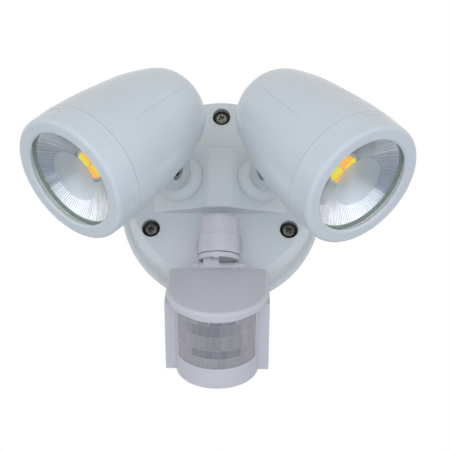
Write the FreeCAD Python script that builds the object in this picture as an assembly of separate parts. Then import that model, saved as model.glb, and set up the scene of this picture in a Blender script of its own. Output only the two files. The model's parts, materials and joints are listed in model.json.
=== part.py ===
import FreeCAD, Part
import math
import os

# Twin-head wall light with a motion sensor below the heads.
# Row frame in millimetres: origin at the centre of the back plate's wall face, +Z up,
# +X to the right as seen from the front, the wall in the plane y = 0 and the light on its -Y side.
# Base parts are drawn in plan (x right, y up, z out from the wall) and then stood up against the wall.

V = FreeCAD.Vector

# ---- clearances ----
FIT_GAP = 0.2            # between fixed pieces that slot into each other
RUN_GAP = 0.08           # radial, between a turning pin or stem and its bore
FACE_GAP = 0.3           # between faces that turn past each other
THREAD_GAP = 0.05        # radial, between a screw and the hole it is screwed into

# ---- wall base ----
PLATE_R = 75.0
PLATE_T = 7.0
PLATE_FLOOR_T = 4.0
PLATE_EDGE_R = 2.4
WALL_GASKET_T = 1.5
WALL_GASKET_W = 5.0
WALL_HOLE_SPACING = 84.0
WALL_HOLE_R = 2.6
CABLE_ENTRY_R = 10.0
CABLE_ENTRY_Z = -20.0
CABLE_R = 4.5
GROMMET_LIP = 2.5

# ---- front cover ----
COVER_BACK_R = 70.1
COVER_FRONT_R = 69.0
COVER_FACE = 42.0        # height of the front face above the wall
COVER_WALL = 3.0
COVER_BEVEL_W = 4.4      # bevel round the face: across it, then back from it
COVER_BEVEL_T = 2.6
COVER_EDGE_R = 0.8
SEAL_W = 2.0
SEAL_T = 1.6
SCREW_CIRCLE_R = 56.8
SCREW_ANGLES = (90.0, 210.0, 330.0)
SCREW_R = 2.5
SCREW_HEAD_R = 4.75
SCREW_HEAD_T = 3.0
SCREW_LENGTH = 22.0
SCREW_SINK = 2.3         # head top below the cover face
RECESS_R = 6.6
RECESS_LIP_W = 0.9
RECESS_LIP_T = 0.5
SCREW_SEAL_T = 1.0
RECESS_CUP_T = 2.0       # wall of the cup behind each recess
POST_R = 6.0

# ---- roof-shaped saddle on the cover that carries the two heads ----
SADDLE_HALF = 47.5
SADDLE_RIDGE_HALF = 9.5
SADDLE_RISE = 15.2
SADDLE_TOP = 27.8
SADDLE_BOTTOM = -16.7
SADDLE_RIDGE_R = 9.0     # soft edges of the ridge
SADDLE_EDGE_R = 1.2

# ---- electrical parts inside the base ----
DRIVER_HALF = 28.0
DRIVER_LOW = 4.0
DRIVER_HIGH = 44.0
DRIVER_T = 21.0
DRIVER_EDGE_R = 2.0
TERMINAL_LOW = -52.0
TERMINAL_HIGH = -37.0
TERMINAL_T = 14.0
TERMINAL_PITCH = 10.0
TERMINAL_TOWER_HALF = 3.4
TERMINAL_WIRE_R = 1.8
TERMINAL_SCREW_R = 1.9
EARTH_POINT = (-34.0, -20.0)
EARTH_SCREW_R = 2.0
EARTH_HEAD_R = 3.6

# ---- swivels ----
SWIVEL_X = 28.2          # where each swivel axis meets the sloped face
SWIVEL_Z = 6.5
DISC_R = 17.0
DISC_RIM_T = 1.6
DISC_GAP = 0.5           # dark line under the disc
CONE_TOP_R = 10.5
CONE_RISE = 3.2
STEM_R = 8.0
STEM_LENGTH = 13.0
STEM_BORE_R = 4.0
STEM_NUT_AF = 22.0
STEM_NUT_T = 4.0
ORING_R = 13.4
ORING_W = 2.4

# ---- knuckle ----
PIVOT_RISE = 26.4        # tilt bolt above the sloped face
EAR_R = 13.0
EAR_T = 11.6
EAR_ROOT_HALF = 11.0     # half-width of the swivel's ear where it meets the disc
EAR_SIDE_DROP = 3.2      # its round end starts this far below the bolt
SWIVEL_EAR_R = 12.3      # smaller than the head's ear, to pass the housing
EAR_FLARE_Y = 10.0       # the head's ear widens from here towards the housing
EAR_FLARE_FRONT = 9.0
EAR_FLARE_BACK = 7.0
EAR_ROOT_DEPTH = 9.0     # how far the head's ear runs into the housing
BOLT_R = 2.5
BOLT_HEAD_R = 4.25
BOLT_HEAD_T = 5.0
BOLT_SINK = 0.6
BOLT_POCKET_R = 5.0
HEX_KEY_AF = 4.0
NUT_AF = 8.0
NUT_T = 4.0

# ---- lamp heads: v is the depth behind the bezel's front face ----
HEAD_FORWARD = 90.75     # bezel face in front of the tilt bolt
HEAD_OFFSET = 45.5       # head axis to tilt bolt
SEAM_V = 17.8
SEAM_R = 42.6
HEAD_LENGTH = 115.0
HEAD_WALL = 3.0
# the housing's curve behind the seam: (share of SEAM_R, share of the way from the seam to the nose)
HEAD_CURVE = ((1.0, 0.0), (0.975, 0.187), (0.92, 0.393), (0.845, 0.599), (0.742, 0.763), (0.6, 0.892),
              (0.326, 0.974))
PANEL_DEPTH = 0.5        # two shallow panels sunk into each housing, one each side of its far line
PANEL_START_DEG = 33.5
PANEL_END_DEG = 77.5
# how much of PANEL_DEPTH the panel is sunk at each point of HEAD_CURVE: it fades out at both ends
PANEL_FADE = (-0.8, 0.2, 1.0, 1.0, 0.6, -0.6, -2.0)
SPIGOT_V = 12.0
SPIGOT_T = 1.5
BEZEL_WALL = 1.9
BEZEL_FACE_R = 39.4
BEZEL_EDGE_R = 2.8
GRIP_COUNT = 6           # flats round the bezel for unscrewing it
GRIP_DEG = {"left": 34.0, "right": 44.0}
GRIP_FLAT = 42.05        # head axis to each flat
GRIP_START_V = 4.0
GRIP_END_V = 14.0
GLASS_OPENING_R = 32.5
LIP_T = 1.8
GLASS_R = 36.0
GLASS_T = 4.2
DIFFUSER_R = 17.0
DIFFUSER_T = 0.4
GASKET_T = 1.2
GASKET_W = 2.6
OPENING_CHAMFER_R = 1.4  # chamfer inside the front rim, then its depth
OPENING_CHAMFER_T = 1.1
REFLECTOR_RIM_R = 33.0
REFLECTOR_END_R = 12.0
REFLECTOR_DEPTH = 12.8
REFLECTOR_T = 1.0
REFLECTOR_BOW = 1.0      # how far its middle bows away from a straight cone
LED_R = 9.9
LED_T = 0.5
HOLDER_R = 19.5
HOLDER_T = 1.4
LED_BOARD_R = 20.0
LED_BOARD_T = 1.5
SPREADER_T = 6.0
LEDGE_W = 2.6            # ledge that the spreader rests on
SPREADER_HOLE_X = 26.0
SPREADER_HOLE_R = 2.5

# ---- rest pose of each head: turn about the swivel axis, then tilt about the bolt ----
SWIVEL_DEG = {"left": 60.6, "right": 64.4}
TILT_DEG = {"left": 50.9, "right": 51.5}

# ---- sensor arm ----
STALK_Z = -41.8
STALK_FLANGE_R = 17.0
STALK_FLANGE_T = 2.4
STALK_NECK_R = 9.5
STALK_STEM_R = 7.5
STALK_STEM_LENGTH = 12.0
STALK_NUT_AF = 20.0
STALK_NUT_T = 4.0
BARREL_R = 13.9
BARREL_Y = -66.0
BARREL_TOP = -27.0
BARREL_BOTTOM = -54.0
BARREL_EDGE_R = 2.6
BARREL_STEP_T = 0.35     # the lower part stands out by this much, up to BARREL_STEP_Z
BARREL_STEP_Z = -41.0
SPIGOT_R = 8.0
SPIGOT_RISE = 14.0
COLLAR_T = 3.2
COLLAR_ROOF_T = 1.5
COLLAR_WALL = 1.9
COLLAR_RIB_T = 3.6
COLLAR_RIB_X = -1.4
COLLAR_RIB_LOW = 0.7     # the rib's front reaches this far below the collar
COLLAR_WEB_X = -10.5
COLLAR_WEB_BACK = 6.0
HINGE_DROP = 9.4         # hinge axis below the barrel's lower edge
HINGE_R = 4.5
HINGE_HALF = 13.7
HINGE_LUG_T = 3.8
HINGE_PIN_R = 1.5
LUG_DEPTH = 6.0

# ---- sensor head: f is forward of the hood's arc centre, u is up from the hood's top face ----
SENSOR_TILT_DEG = 42.0
HOOD_INSET = 0.5         # hood inside the case's sides
HOOD_BACK = 28.0
HOOD_T = 5.3
HOOD_EDGE_R = 2.6
HOOD_CORNER_R = 4.0
HINGE_BEHIND = 5.2       # hinge axis behind the housing's back face
HINGE_BELOW_HOOD = 4.2
CASE_HALF = 34.0
CASE_FRONT = 11.5
CASE_LOW = -55.2
CASE_WALL = 2.0
CASE_EDGE_R = 1.5
DRUM_R = 27.5
DRUM_F = 6.5
DRUM_LOW = -55.5
DRUM_WALL = 1.8
WINDOW_BELOW_HOOD = 0.7
WINDOW_LOW = -40.7
WINDOW_DEG = 66.0
LENS_INSET = 0.3         # lens face behind the drum's skin
LENS_FLANGE_T = 0.8
LENS_FLANGE_W = 1.6
BOARD_T = 1.6
BOARD_TOP_GAP = 2.0
BOARD_LOW_GAP = 9.0
BOARD_POST_GAP = 0.8
BOARD_F = -6.0
PIR_R = 4.6
PIR_T = 4.2
PIR_U = -24.0
PIR_SLIT_HALF = (2.0, 1.5)
SENSOR_SCREW_SIDE = 5.2  # case screws in from its sides, and INSET from its top and bottom
SENSOR_SCREW_R = 1.4
SENSOR_SCREW_HEAD_R = 2.6
SENSOR_SCREW_HEAD_T = 1.8
SENSOR_POST_R = 3.0
SENSOR_SCREW_INSET = 5.5
KNOB_R = 5.0
KNOB_T = 2.6
KNOB_SHAFT_R = 2.0
KNOB_SHAFT_LENGTH = 7.0
KNOB_WELL_DEPTH = 1.6
KNOB_SLOT_W = 1.2
KNOB_SLOT_T = 0.9
KNOB_F = -14.0
KNOB_PITCH = 17.0
KNOB_NAMES = ("time_knob", "range_knob", "lux_knob")

# ---- worked out from the above ----
BETA = math.atan2(SADDLE_RISE, SADDLE_HALF - SADDLE_RIDGE_HALF)
GLASS_V = LIP_T
GASKET_V = GLASS_V + GLASS_T
REFLECTOR_V = GASKET_V + GASKET_T
HOLDER_V = REFLECTOR_V + REFLECTOR_DEPTH + REFLECTOR_T / 2
LED_BOARD_V = HOLDER_V + HOLDER_T
SPREADER_V = LED_BOARD_V + LED_BOARD_T
LEDGE_V = SPREADER_V + SPREADER_T
SPIGOT_OUT_R = SEAM_R - BEZEL_WALL - FIT_GAP
SPIGOT_IN_R = SPIGOT_OUT_R - SPIGOT_T
STEM_HOLE_R = STEM_R + RUN_GAP
HINGE_Z = BARREL_BOTTOM - HINGE_DROP
RECESS_FLOOR = COVER_FACE - SCREW_SINK - SCREW_HEAD_T - SCREW_SEAL_T
HOOD_R = CASE_HALF - HOOD_INSET
WINDOW_TOP = -HOOD_T - WINDOW_BELOW_HOOD
SENSOR_SCREW_X = CASE_HALF - SENSOR_SCREW_SIDE
WALL_GASKET_R = PLATE_R - PLATE_EDGE_R - 1.0
SIDES = {"left": -1.0, "right": 1.0}


# ---- drawing helpers ----
def cyl(r, z0, z1, x=0.0, y=0.0):
    return Part.makeCylinder(r, z1 - z0, V(x, y, z0))


def ring(r_out, r_in, z0, z1, x=0.0, y=0.0):
    return cyl(r_out, z0, z1, x, y).cut(cyl(r_in, z0 - 1.0, z1 + 1.0, x, y))


def block(x0, x1, y0, y1, z0, z1):
    return Part.makeBox(x1 - x0, y1 - y0, z1 - z0, V(x0, y0, z0))


def along_x(shape):
    """Turn a shape drawn along +Z so that it runs along +X."""
    shape.rotate(V(0, 0, 0), V(0, 1, 0), 90)
    return shape


def path_edges(start, steps, to3d):
    """Edges through steps: (a, b) is a line's end, (ma, mb, a, b) an arc's middle and end."""
    here = to3d(*start)
    edges = []
    for step in steps:
        end = to3d(*step[-2:])
        if len(step) == 2:
            edges.append(Part.makeLine(here, end))
        else:
            edges.append(Part.Arc(here, to3d(*step[:2]), end).toShape())
        here = end
    return edges


def outline_face(start, steps, to3d):
    return Part.Face(Part.Wire(path_edges(start, steps, to3d)))


def turned(start, steps):
    """Solid of revolution about Z from a closed outline of (radius, z) points."""
    face = outline_face(start, steps, lambda r, z: V(r, 0, z))
    return face.revolve(V(0, 0, 0), V(0, 0, 1), 360)


def prism(start, steps, to3d, direction):
    return outline_face(start, steps, to3d).extrude(direction)


def polygon(points, to3d, direction):
    return prism(points[0], [*points[1:], points[0]], to3d, direction)


def hex_prism(across_flats, z0, z1):
    r = across_flats / math.sqrt(3.0)
    corners = [(r * math.cos(math.radians(60 * i)), r * math.sin(math.radians(60 * i))) for i in range(6)]
    return polygon(corners, lambda x, y: V(x, y, z0), V(0, 0, z1 - z0))


def arc_point(r, degrees, cx=0.0, cy=0.0):
    a = math.radians(degrees)
    return (cx + r * math.cos(a), cy + r * math.sin(a))


def fuse(shapes):
    return shapes[0].multiFuse(shapes[1:]).removeSplitter()


def rounded(shape, radius, pick):
    edges = [e for e in shape.Edges if pick(e)]
    return shape.makeFillet(radius, edges) if edges else shape


def mirrored_x(shape):
    return shape.mirror(V(0, 0, 0), V(1, 0, 0))


def save(node, shape):
    solids = [s for s in shape.Solids]
    out = solids[0] if len(solids) == 1 else Part.makeCompound(solids)
    out.exportStep("parts/" + node + ".step")
    state = "valid" if out.isValid() else "INVALID"
    print(node, len(solids), "solid(s)", round(out.Volume / 1000.0, 2), "cm3", state)


# ---- frames ----
def frame_placement(origin, x_axis, z_axis):
    y_axis = z_axis.cross(x_axis)
    m = FreeCAD.Matrix(x_axis.x, y_axis.x, z_axis.x, origin.x,
                       x_axis.y, y_axis.y, z_axis.y, origin.y,
                       x_axis.z, y_axis.z, z_axis.z, origin.z, 0, 0, 0, 1)
    return FreeCAD.Placement(m)


def swivel_axis(side):
    return V(SIDES[side] * math.sin(BETA), -math.cos(BETA), 0)


def swivel_origin(side):
    rise = SADDLE_RISE * (SADDLE_HALF - SWIVEL_X) / (SADDLE_HALF - SADDLE_RIDGE_HALF)
    return V(SIDES[side] * SWIVEL_X, -(COVER_FACE + rise), SWIVEL_Z)


def knuckle_frame(side, turn=None):
    """Origin on the sloped face, Z out of it, X along the tilt bolt; turn is the swivel angle."""
    turn = SWIVEL_DEG[side] if turn is None else turn
    z_axis = swivel_axis(side)
    out = V(SIDES[side] * math.cos(BETA), math.sin(BETA), 0)
    a = math.radians(turn)
    bow = out * math.cos(a) + V(0, 0, -1) * math.sin(a)
    x_axis = (bow * -1.0).cross(z_axis)
    return frame_placement(swivel_origin(side), x_axis, z_axis)


def head_frame(side, turn=None, tilt=None):
    """Origin on the tilt bolt, Z along the head towards its front, Y towards the head's axis."""
    tilt = TILT_DEG[side] if tilt is None else tilt
    lift = FreeCAD.Placement(V(0, 0, PIVOT_RISE), FreeCAD.Rotation(V(1, 0, 0), tilt))
    return knuckle_frame(side, turn).multiply(lift)


def sensor_frame():
    """Origin on the sensor's hinge, with the sensor bowed down by its tilt."""
    return FreeCAD.Placement(V(0, BARREL_Y, HINGE_Z), FreeCAD.Rotation(V(1, 0, 0), SENSOR_TILT_DEG))


def stand_up(shape):
    """From the plan drawing to the wall: plan z becomes the distance out from the wall."""
    shape.rotate(V(0, 0, 0), V(1, 0, 0), 90)
    return shape


def placed(shape, placement):
    out = shape.copy()
    out.transformShape(placement.toMatrix(), True)
    return out


# ---- wall base ----
def screw_points():
    return [arc_point(SCREW_CIRCLE_R, a) for a in SCREW_ANGLES]


def back_plate():
    e = PLATE_EDGE_R
    mid = e * (1 - math.sqrt(0.5))
    groove_r = COVER_BACK_R - COVER_WALL / 2
    dish_r = COVER_BACK_R - COVER_WALL - FIT_GAP
    plate = turned((0, 0), [
        (PLATE_R - e, 0), (PLATE_R - mid, mid, PLATE_R, e), (PLATE_R, PLATE_T - e),
        (PLATE_R - mid, PLATE_T - mid, PLATE_R - e, PLATE_T),
        (groove_r + SEAL_W / 2, PLATE_T), (groove_r + SEAL_W / 2, PLATE_T - SEAL_T),
        (groove_r - SEAL_W / 2, PLATE_T - SEAL_T), (groove_r - SEAL_W / 2, PLATE_T),
        (dish_r, PLATE_T), (dish_r, PLATE_T + 3.0), (dish_r - 2.0, PLATE_T + 3.0),
        (dish_r - 2.0, PLATE_FLOOR_T), (0, PLATE_FLOOR_T), (0, 0)])
    posts = [cyl(POST_R, PLATE_FLOOR_T, post_top(), x, y) for x, y in screw_points()]
    plate = fuse([plate, *posts])
    for x, y in screw_points():
        plate = plate.cut(cyl(SCREW_R + THREAD_GAP, PLATE_FLOOR_T, post_top() + 1, x, y))
    for x in (-WALL_HOLE_SPACING / 2, WALL_HOLE_SPACING / 2):
        plate = plate.cut(cyl(WALL_HOLE_R, -1, PLATE_T + 1, x, 0))
    plate = plate.cut(cyl(CABLE_ENTRY_R, -1, PLATE_T + 1, 0, CABLE_ENTRY_Z))
    plate = plate.cut(ring(WALL_GASKET_R, WALL_GASKET_R - WALL_GASKET_W, -1, WALL_GASKET_T))
    plate = plate.cut(cyl(EARTH_SCREW_R + THREAD_GAP, 1.0, PLATE_T, *EARTH_POINT))
    return stand_up(plate)


def post_top():
    return RECESS_FLOOR - COVER_WALL - FIT_GAP


def wall_gasket():
    return stand_up(ring(WALL_GASKET_R, WALL_GASKET_R - WALL_GASKET_W, 0, WALL_GASKET_T))


def cable_grommet():
    inner, outer = CABLE_R, CABLE_ENTRY_R
    lip, t = GROMMET_LIP, PLATE_FLOOR_T
    body = turned((inner, 0.4), [(outer, 0.4), (outer, t), (outer + lip, t), (outer + lip, t + 1.6),
                                 (inner + 2.0, t + 3.6), (inner, t + 3.6), (inner, 0.4)])
    body.translate(V(0, CABLE_ENTRY_Z, 0))
    return stand_up(body)


def front_cover():
    """Bowl with a bevelled face, the saddle on it and a cup sunk in for each screw."""
    w = COVER_WALL
    bevel_back = COVER_FACE - COVER_BEVEL_T
    shell = turned((0, COVER_FACE), [
        (COVER_FRONT_R - COVER_BEVEL_W, COVER_FACE), (COVER_FRONT_R, bevel_back),
        (COVER_BACK_R, PLATE_T), (COVER_BACK_R - w, PLATE_T), (COVER_FRONT_R - w, bevel_back - w),
        (COVER_FRONT_R - COVER_BEVEL_W, COVER_FACE - w), (0, COVER_FACE - w), (0, COVER_FACE)])
    rim_z = bevel_back - 0.01
    shell = rounded(shell, COVER_EDGE_R, lambda e: e.BoundBox.ZMin > rim_z and e.BoundBox.ZLength < 0.01)
    shell = fuse([shell, saddle()])
    shell = shell.cut(saddle_hollow())
    for x, y in screw_points():
        cup = cyl(RECESS_R + RECESS_CUP_T, RECESS_FLOOR - w, COVER_FACE - w / 2, x, y)
        lip = ring(RECESS_R + RECESS_LIP_W, RECESS_R, COVER_FACE - w / 2, COVER_FACE + RECESS_LIP_T, x, y)
        shell = fuse([shell, cup, lip])
        shell = shell.cut(cyl(RECESS_R, RECESS_FLOOR, COVER_FACE + 2, x, y))
        shell = shell.cut(cyl(SCREW_R + FIT_GAP, RECESS_FLOOR - w - 1, RECESS_FLOOR + 1, x, y))
    shell = shell.cut(cyl(STALK_STEM_R + FIT_GAP, COVER_FACE - w - 2, COVER_FACE + 2, 0, STALK_Z))
    shell = stand_up(shell)
    for side in SIDES:
        shell = shell.cut(placed(cyl(STEM_HOLE_R, -COVER_WALL - 4, 2), knuckle_frame(side)))
    return shell


def roof_outline(drop, floor):
    """Half-width and height points of the saddle's roof, drop below its outer skin."""
    slope = math.tan(BETA)
    ridge = COVER_FACE + SADDLE_RISE - drop
    eave_shift = drop / math.cos(BETA)
    ridge_half = SADDLE_RIDGE_HALF - (eave_shift - drop) / slope
    foot_half = ridge_half + (ridge - floor) / slope
    return [(-foot_half, floor), (-ridge_half, ridge), (ridge_half, ridge), (foot_half, floor)]


def saddle():
    roof = polygon(roof_outline(0.0, COVER_FACE - 0.5), lambda x, z: V(x, SADDLE_BOTTOM, z),
                   V(0, SADDLE_TOP - SADDLE_BOTTOM, 0))
    foot = COVER_FACE + 1.0
    roof = rounded(roof, SADDLE_RIDGE_R, lambda e: e.BoundBox.ZMin > foot and e.BoundBox.YLength > 1.0)
    return rounded(roof, SADDLE_EDGE_R, lambda e: e.BoundBox.ZMax > foot and e.BoundBox.YLength < 0.01)


def saddle_hollow():
    floor = COVER_FACE - COVER_WALL - 0.5
    w = COVER_WALL
    return polygon(roof_outline(w, floor), lambda x, z: V(x, SADDLE_BOTTOM + w, z),
                   V(0, SADDLE_TOP - SADDLE_BOTTOM - 2 * w, 0))


def cover_seal():
    r = COVER_BACK_R - COVER_WALL / 2
    return stand_up(ring(r + SEAL_W / 2, r - SEAL_W / 2, PLATE_T - SEAL_T, PLATE_T))


def cross_head_screw(r, head_r, head_t, length):
    """Pan-head screw with a cross recess: head up from z = 0, shank down from it."""
    crown = head_t * 0.55
    head = turned((0, 0), [
        (head_r, 0), (head_r, head_t - crown),
        (head_r * 0.80, head_t - crown * 0.25, head_r * 0.45, head_t), (0, head_t), (0, 0)])
    slot = block(-head_r * 0.5, head_r * 0.5, -head_r * 0.1, head_r * 0.1, head_t * 0.45, head_t + 1)
    cross = slot.copy()
    cross.rotate(V(0, 0, 0), V(0, 0, 1), 90)
    shank = cyl(r, -length, 0)
    return fuse([head, shank]).cut(slot).cut(cross)


def cover_screws():
    screws = []
    for x, y in screw_points():
        screw = cross_head_screw(SCREW_R, SCREW_HEAD_R, SCREW_HEAD_T, SCREW_LENGTH)
        screw.translate(V(x, y, RECESS_FLOOR + SCREW_SEAL_T))
        screws.append(screw)
    return stand_up(Part.makeCompound(screws))


def cover_screw_seals():
    seals = [ring(RECESS_R - FACE_GAP, SCREW_R + THREAD_GAP, RECESS_FLOOR, RECESS_FLOOR + SCREW_SEAL_T, x, y)
             for x, y in screw_points()]
    return stand_up(Part.makeCompound(seals))


# ---- electrical parts inside the base ----
def driver_case():
    case = block(-DRIVER_HALF, DRIVER_HALF, DRIVER_LOW, DRIVER_HIGH, PLATE_FLOOR_T, PLATE_FLOOR_T + DRIVER_T)
    case = rounded(case, DRIVER_EDGE_R, lambda e: e.BoundBox.ZLength > 1.0)
    return stand_up(case)


def terminal_centres():
    return [i * TERMINAL_PITCH for i in (-1, 0, 1)]


def terminal_block():
    y_mid = (TERMINAL_LOW + TERMINAL_HIGH) / 2
    top = PLATE_FLOOR_T + TERMINAL_T
    half_x = TERMINAL_PITCH * 1.5
    body = block(-half_x, half_x, TERMINAL_LOW, TERMINAL_HIGH, PLATE_FLOOR_T, top - 4)
    half = TERMINAL_TOWER_HALF
    towers = [block(x - half, x + half, y_mid - half, y_mid + half, top - 5, top) for x in terminal_centres()]
    body = fuse([body, *towers])
    for x in terminal_centres():
        body = body.cut(cyl(TERMINAL_SCREW_R + THREAD_GAP, top - 8, top + 1, x, y_mid))
        start = V(x, TERMINAL_LOW - 2, PLATE_FLOOR_T + 3.4)
        wire = Part.makeCylinder(TERMINAL_WIRE_R, TERMINAL_HIGH - TERMINAL_LOW + 4, start, V(0, 1, 0))
        body = body.cut(wire)
    return stand_up(body)


def terminal_screws():
    y_mid = (TERMINAL_LOW + TERMINAL_HIGH) / 2
    top = PLATE_FLOOR_T + TERMINAL_T
    screws = []
    for x in terminal_centres():
        screw = cyl(TERMINAL_SCREW_R, top - 7, top - 1, x, y_mid)
        screws.append(screw.cut(block(x - 3, x + 3, y_mid - 0.35, y_mid + 0.35, top - 2, top)))
    return stand_up(Part.makeCompound(screws))


def earth_screw():
    screw = cross_head_screw(EARTH_SCREW_R, EARTH_HEAD_R, 2.4, 4.6)
    screw.translate(V(EARTH_POINT[0], EARTH_POINT[1], PLATE_FLOOR_T + 1.8))
    return stand_up(screw)


# ---- swivels ----
def swivel(side):
    """Disc, half-lap ear and threaded stem. The ear stands on the outer half, away from the bolt's head."""
    base = DISC_GAP
    top = base + DISC_RIM_T
    disc = turned((0, base), [
        (DISC_R - 0.5, base), (DISC_R, base + 0.5), (DISC_R, top - 0.5), (DISC_R - 0.5, top),
        (DISC_R - 1.6, top), (CONE_TOP_R + 1.2, top + CONE_RISE * 0.72, CONE_TOP_R, top + CONE_RISE),
        (0, top + CONE_RISE), (0, base)])
    stem = cyl(STEM_R, -STEM_LENGTH, base + 0.2)
    inner = -FACE_GAP
    outer = inner - EAR_T
    root_z, side_z = top - 0.6, PIVOT_RISE - EAR_SIDE_DROP
    half = math.sqrt(SWIVEL_EAR_R ** 2 - EAR_SIDE_DROP ** 2)
    ear = prism((-EAR_ROOT_HALF, root_z), [
        (EAR_ROOT_HALF, root_z), (half, side_z), (0, PIVOT_RISE + SWIVEL_EAR_R, -half, side_z),
        (-EAR_ROOT_HALF, root_z)],
        lambda y, z: V(outer, y, z), V(EAR_T, 0, 0))
    body = fuse([disc, stem, ear])
    pocket = along_x(cyl(BOLT_POCKET_R, outer - 1, outer + NUT_T + 1.0))
    bore = along_x(cyl(BOLT_R + RUN_GAP, outer - 1, 1))
    for cutter in (pocket, bore):
        cutter.translate(V(0, 0, PIVOT_RISE))
        body = body.cut(cutter)
    body = body.cut(cyl(STEM_BORE_R, -STEM_LENGTH - 1, top + 1))
    body = body.cut(ring(ORING_R + ORING_W / 2, ORING_R - ORING_W / 2, base - 1, base + 0.8))
    return placed(hand(body, side), knuckle_frame(side))


def hand(shape, side):
    """Knuckle parts are drawn for the left head, whose bolt goes in from +X. The right one is its mirror."""
    return shape if side == "left" else mirrored_x(shape)


def swivel_oring(side):
    oring = ring(ORING_R + ORING_W / 2, ORING_R - ORING_W / 2, 0.1, DISC_GAP + 0.8)
    return placed(oring, knuckle_frame(side))


def swivel_nut(side):
    top = -COVER_WALL - FACE_GAP
    nut = hex_prism(STEM_NUT_AF, top - STEM_NUT_T, top)
    return placed(nut.cut(cyl(STEM_R + THREAD_GAP, top - STEM_NUT_T - 1, top + 1)), knuckle_frame(side))


# ---- lamp heads ----
def head_solid(shape, side):
    """From the head's own axis frame (z = -v) to its place on the knuckle."""
    out = shape.copy()
    out.translate(V(0, HEAD_OFFSET, HEAD_FORWARD))
    return placed(hand(out, side), head_frame(side))


def bullet(curve_points, length, start_v):
    """Turned solid inside a smooth curve of (radius, v) points, from start_v to the closed nose."""
    points = [V(r, 0, -v) for r, v in curve_points] + [V(0, 0, -length)]
    curve = Part.BSplineCurve()
    curve.interpolate(Points=points, InitialTangent=V(-0.08, 0, -1), FinalTangent=V(-1, 0, 0))
    first, centre = points[0], V(0, 0, -start_v)
    rim = V(first.x, 0, -start_v)
    edges = [curve.toShape(), Part.makeLine(points[-1], centre), Part.makeLine(centre, rim)]
    if abs(first.z + start_v) > 1e-6:
        edges.append(Part.makeLine(rim, first))
    face = Part.Face(Part.Wire(Part.__sortEdges__(edges)))
    return face.revolve(V(0, 0, 0), V(0, 0, 1), 360)


def head_curve(sunk=(0.0,) * len(HEAD_CURVE)):
    """(radius, v) points of the housing's skin, each pulled in by its own amount."""
    v0 = SEAM_V + FIT_GAP
    return [(r * SEAM_R - s, v0 + share * (HEAD_LENGTH - v0)) for (r, share), s in zip(HEAD_CURVE, sunk)]


def panel_cutter(side_sign):
    """What is cut off the housing between two planes through its axis to leave a shallow sunk panel."""
    wedge = Part.makeCylinder(SEAM_R + 5, HEAD_LENGTH, V(0, 0, -HEAD_LENGTH), V(0, 0, 1),
                              PANEL_END_DEG - PANEL_START_DEG)
    start = PANEL_START_DEG if side_sign > 0 else -PANEL_END_DEG
    wedge.rotate(V(0, 0, 0), V(0, 0, 1), 90 + start)
    floor = bullet(head_curve([PANEL_DEPTH * f for f in PANEL_FADE]), HEAD_LENGTH + 1.0, SEAM_V - 1.0)
    return wedge.cut(floor)


def head_shell(side):
    """Die-cast housing: bullet skin with two sunk panels, spigot for the bezel, ledge for the spreader."""
    first_v = SEAM_V + FIT_GAP
    body = bullet(head_curve(), HEAD_LENGTH, first_v)
    for sign in (-1, 1):
        body = body.cut(panel_cutter(sign))
    spigot = ring(SPIGOT_OUT_R, SPIGOT_IN_R, -first_v - 1.0, -SPIGOT_V)
    inner = [(r - HEAD_WALL, v) for r, v in head_curve() if v > LEDGE_V + HEAD_WALL]
    cavity = bullet([(SPIGOT_IN_R - LEDGE_W, LEDGE_V + 0.5), *inner], HEAD_LENGTH - HEAD_WALL, LEDGE_V - 0.5)
    pocket = cyl(SPIGOT_IN_R, -LEDGE_V, 0)
    ear = head_ear()
    ear.translate(V(0, -HEAD_OFFSET, -HEAD_FORWARD))
    body = fuse([body, spigot, ear]).cut(cavity).cut(pocket)
    return head_solid(body, side)


def head_ear():
    """Half-lap ear of the head, drawn about the tilt bolt: rounded end, flared into the housing."""
    t0, t1 = FACE_GAP, FACE_GAP + EAR_T
    root_y = HEAD_OFFSET - HEAD_CURVE[4][0] * SEAM_R + EAR_ROOT_DEPTH
    ear = prism((-EAR_R, 0), [
        (0, -EAR_R, EAR_R, 0), (EAR_R + 2.0, EAR_FLARE_Y), (EAR_R + EAR_FLARE_FRONT, root_y),
        (-EAR_R - EAR_FLARE_BACK, root_y), (-EAR_R - 1.5, EAR_FLARE_Y), (-EAR_R, 0)],
        lambda z, y: V(t0, y, z), V(t1 - t0, 0, 0))
    pocket = along_x(cyl(BOLT_POCKET_R, t1 - BOLT_SINK - BOLT_HEAD_T, t1 + 1))
    bore = along_x(cyl(BOLT_R + THREAD_GAP, t0 - 1, t1 + 1))
    return ear.cut(pocket).cut(bore)


def bezel(side):
    e, mid = BEZEL_EDGE_R, BEZEL_EDGE_R * (1 - math.sqrt(0.5))
    rim_r = BEZEL_FACE_R + e
    bore_r = SEAM_R - BEZEL_WALL
    seat_r = GLASS_R + FIT_GAP
    seat_v = REFLECTOR_V + REFLECTOR_T
    body = turned((GLASS_OPENING_R, -LIP_T), [
        (GLASS_OPENING_R, -OPENING_CHAMFER_T), (GLASS_OPENING_R + OPENING_CHAMFER_R, 0), (BEZEL_FACE_R, 0),
        (rim_r - mid, -mid, rim_r, -e), (SEAM_R, -SEAM_V), (bore_r, -SEAM_V), (bore_r, -seat_v),
        (seat_r, -seat_v), (seat_r, -LIP_T), (GLASS_OPENING_R, -LIP_T)])
    flat = block(-SEAM_R, SEAM_R, GRIP_FLAT, SEAM_R + 1, -GRIP_END_V, -GRIP_START_V)
    for i in range(GRIP_COUNT):
        grip = flat.copy()
        grip.rotate(V(0, 0, 0), V(0, 0, 1), -GRIP_DEG[side] - 360.0 / GRIP_COUNT * i)
        body = body.cut(grip)
    return head_solid(body, side)


def front_glass(side):
    return head_solid(cyl(GLASS_R, -GLASS_V - GLASS_T, -GLASS_V), side)


def diffuser(side):
    return head_solid(cyl(DIFFUSER_R, -GASKET_V - DIFFUSER_T, -GASKET_V), side)


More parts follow.
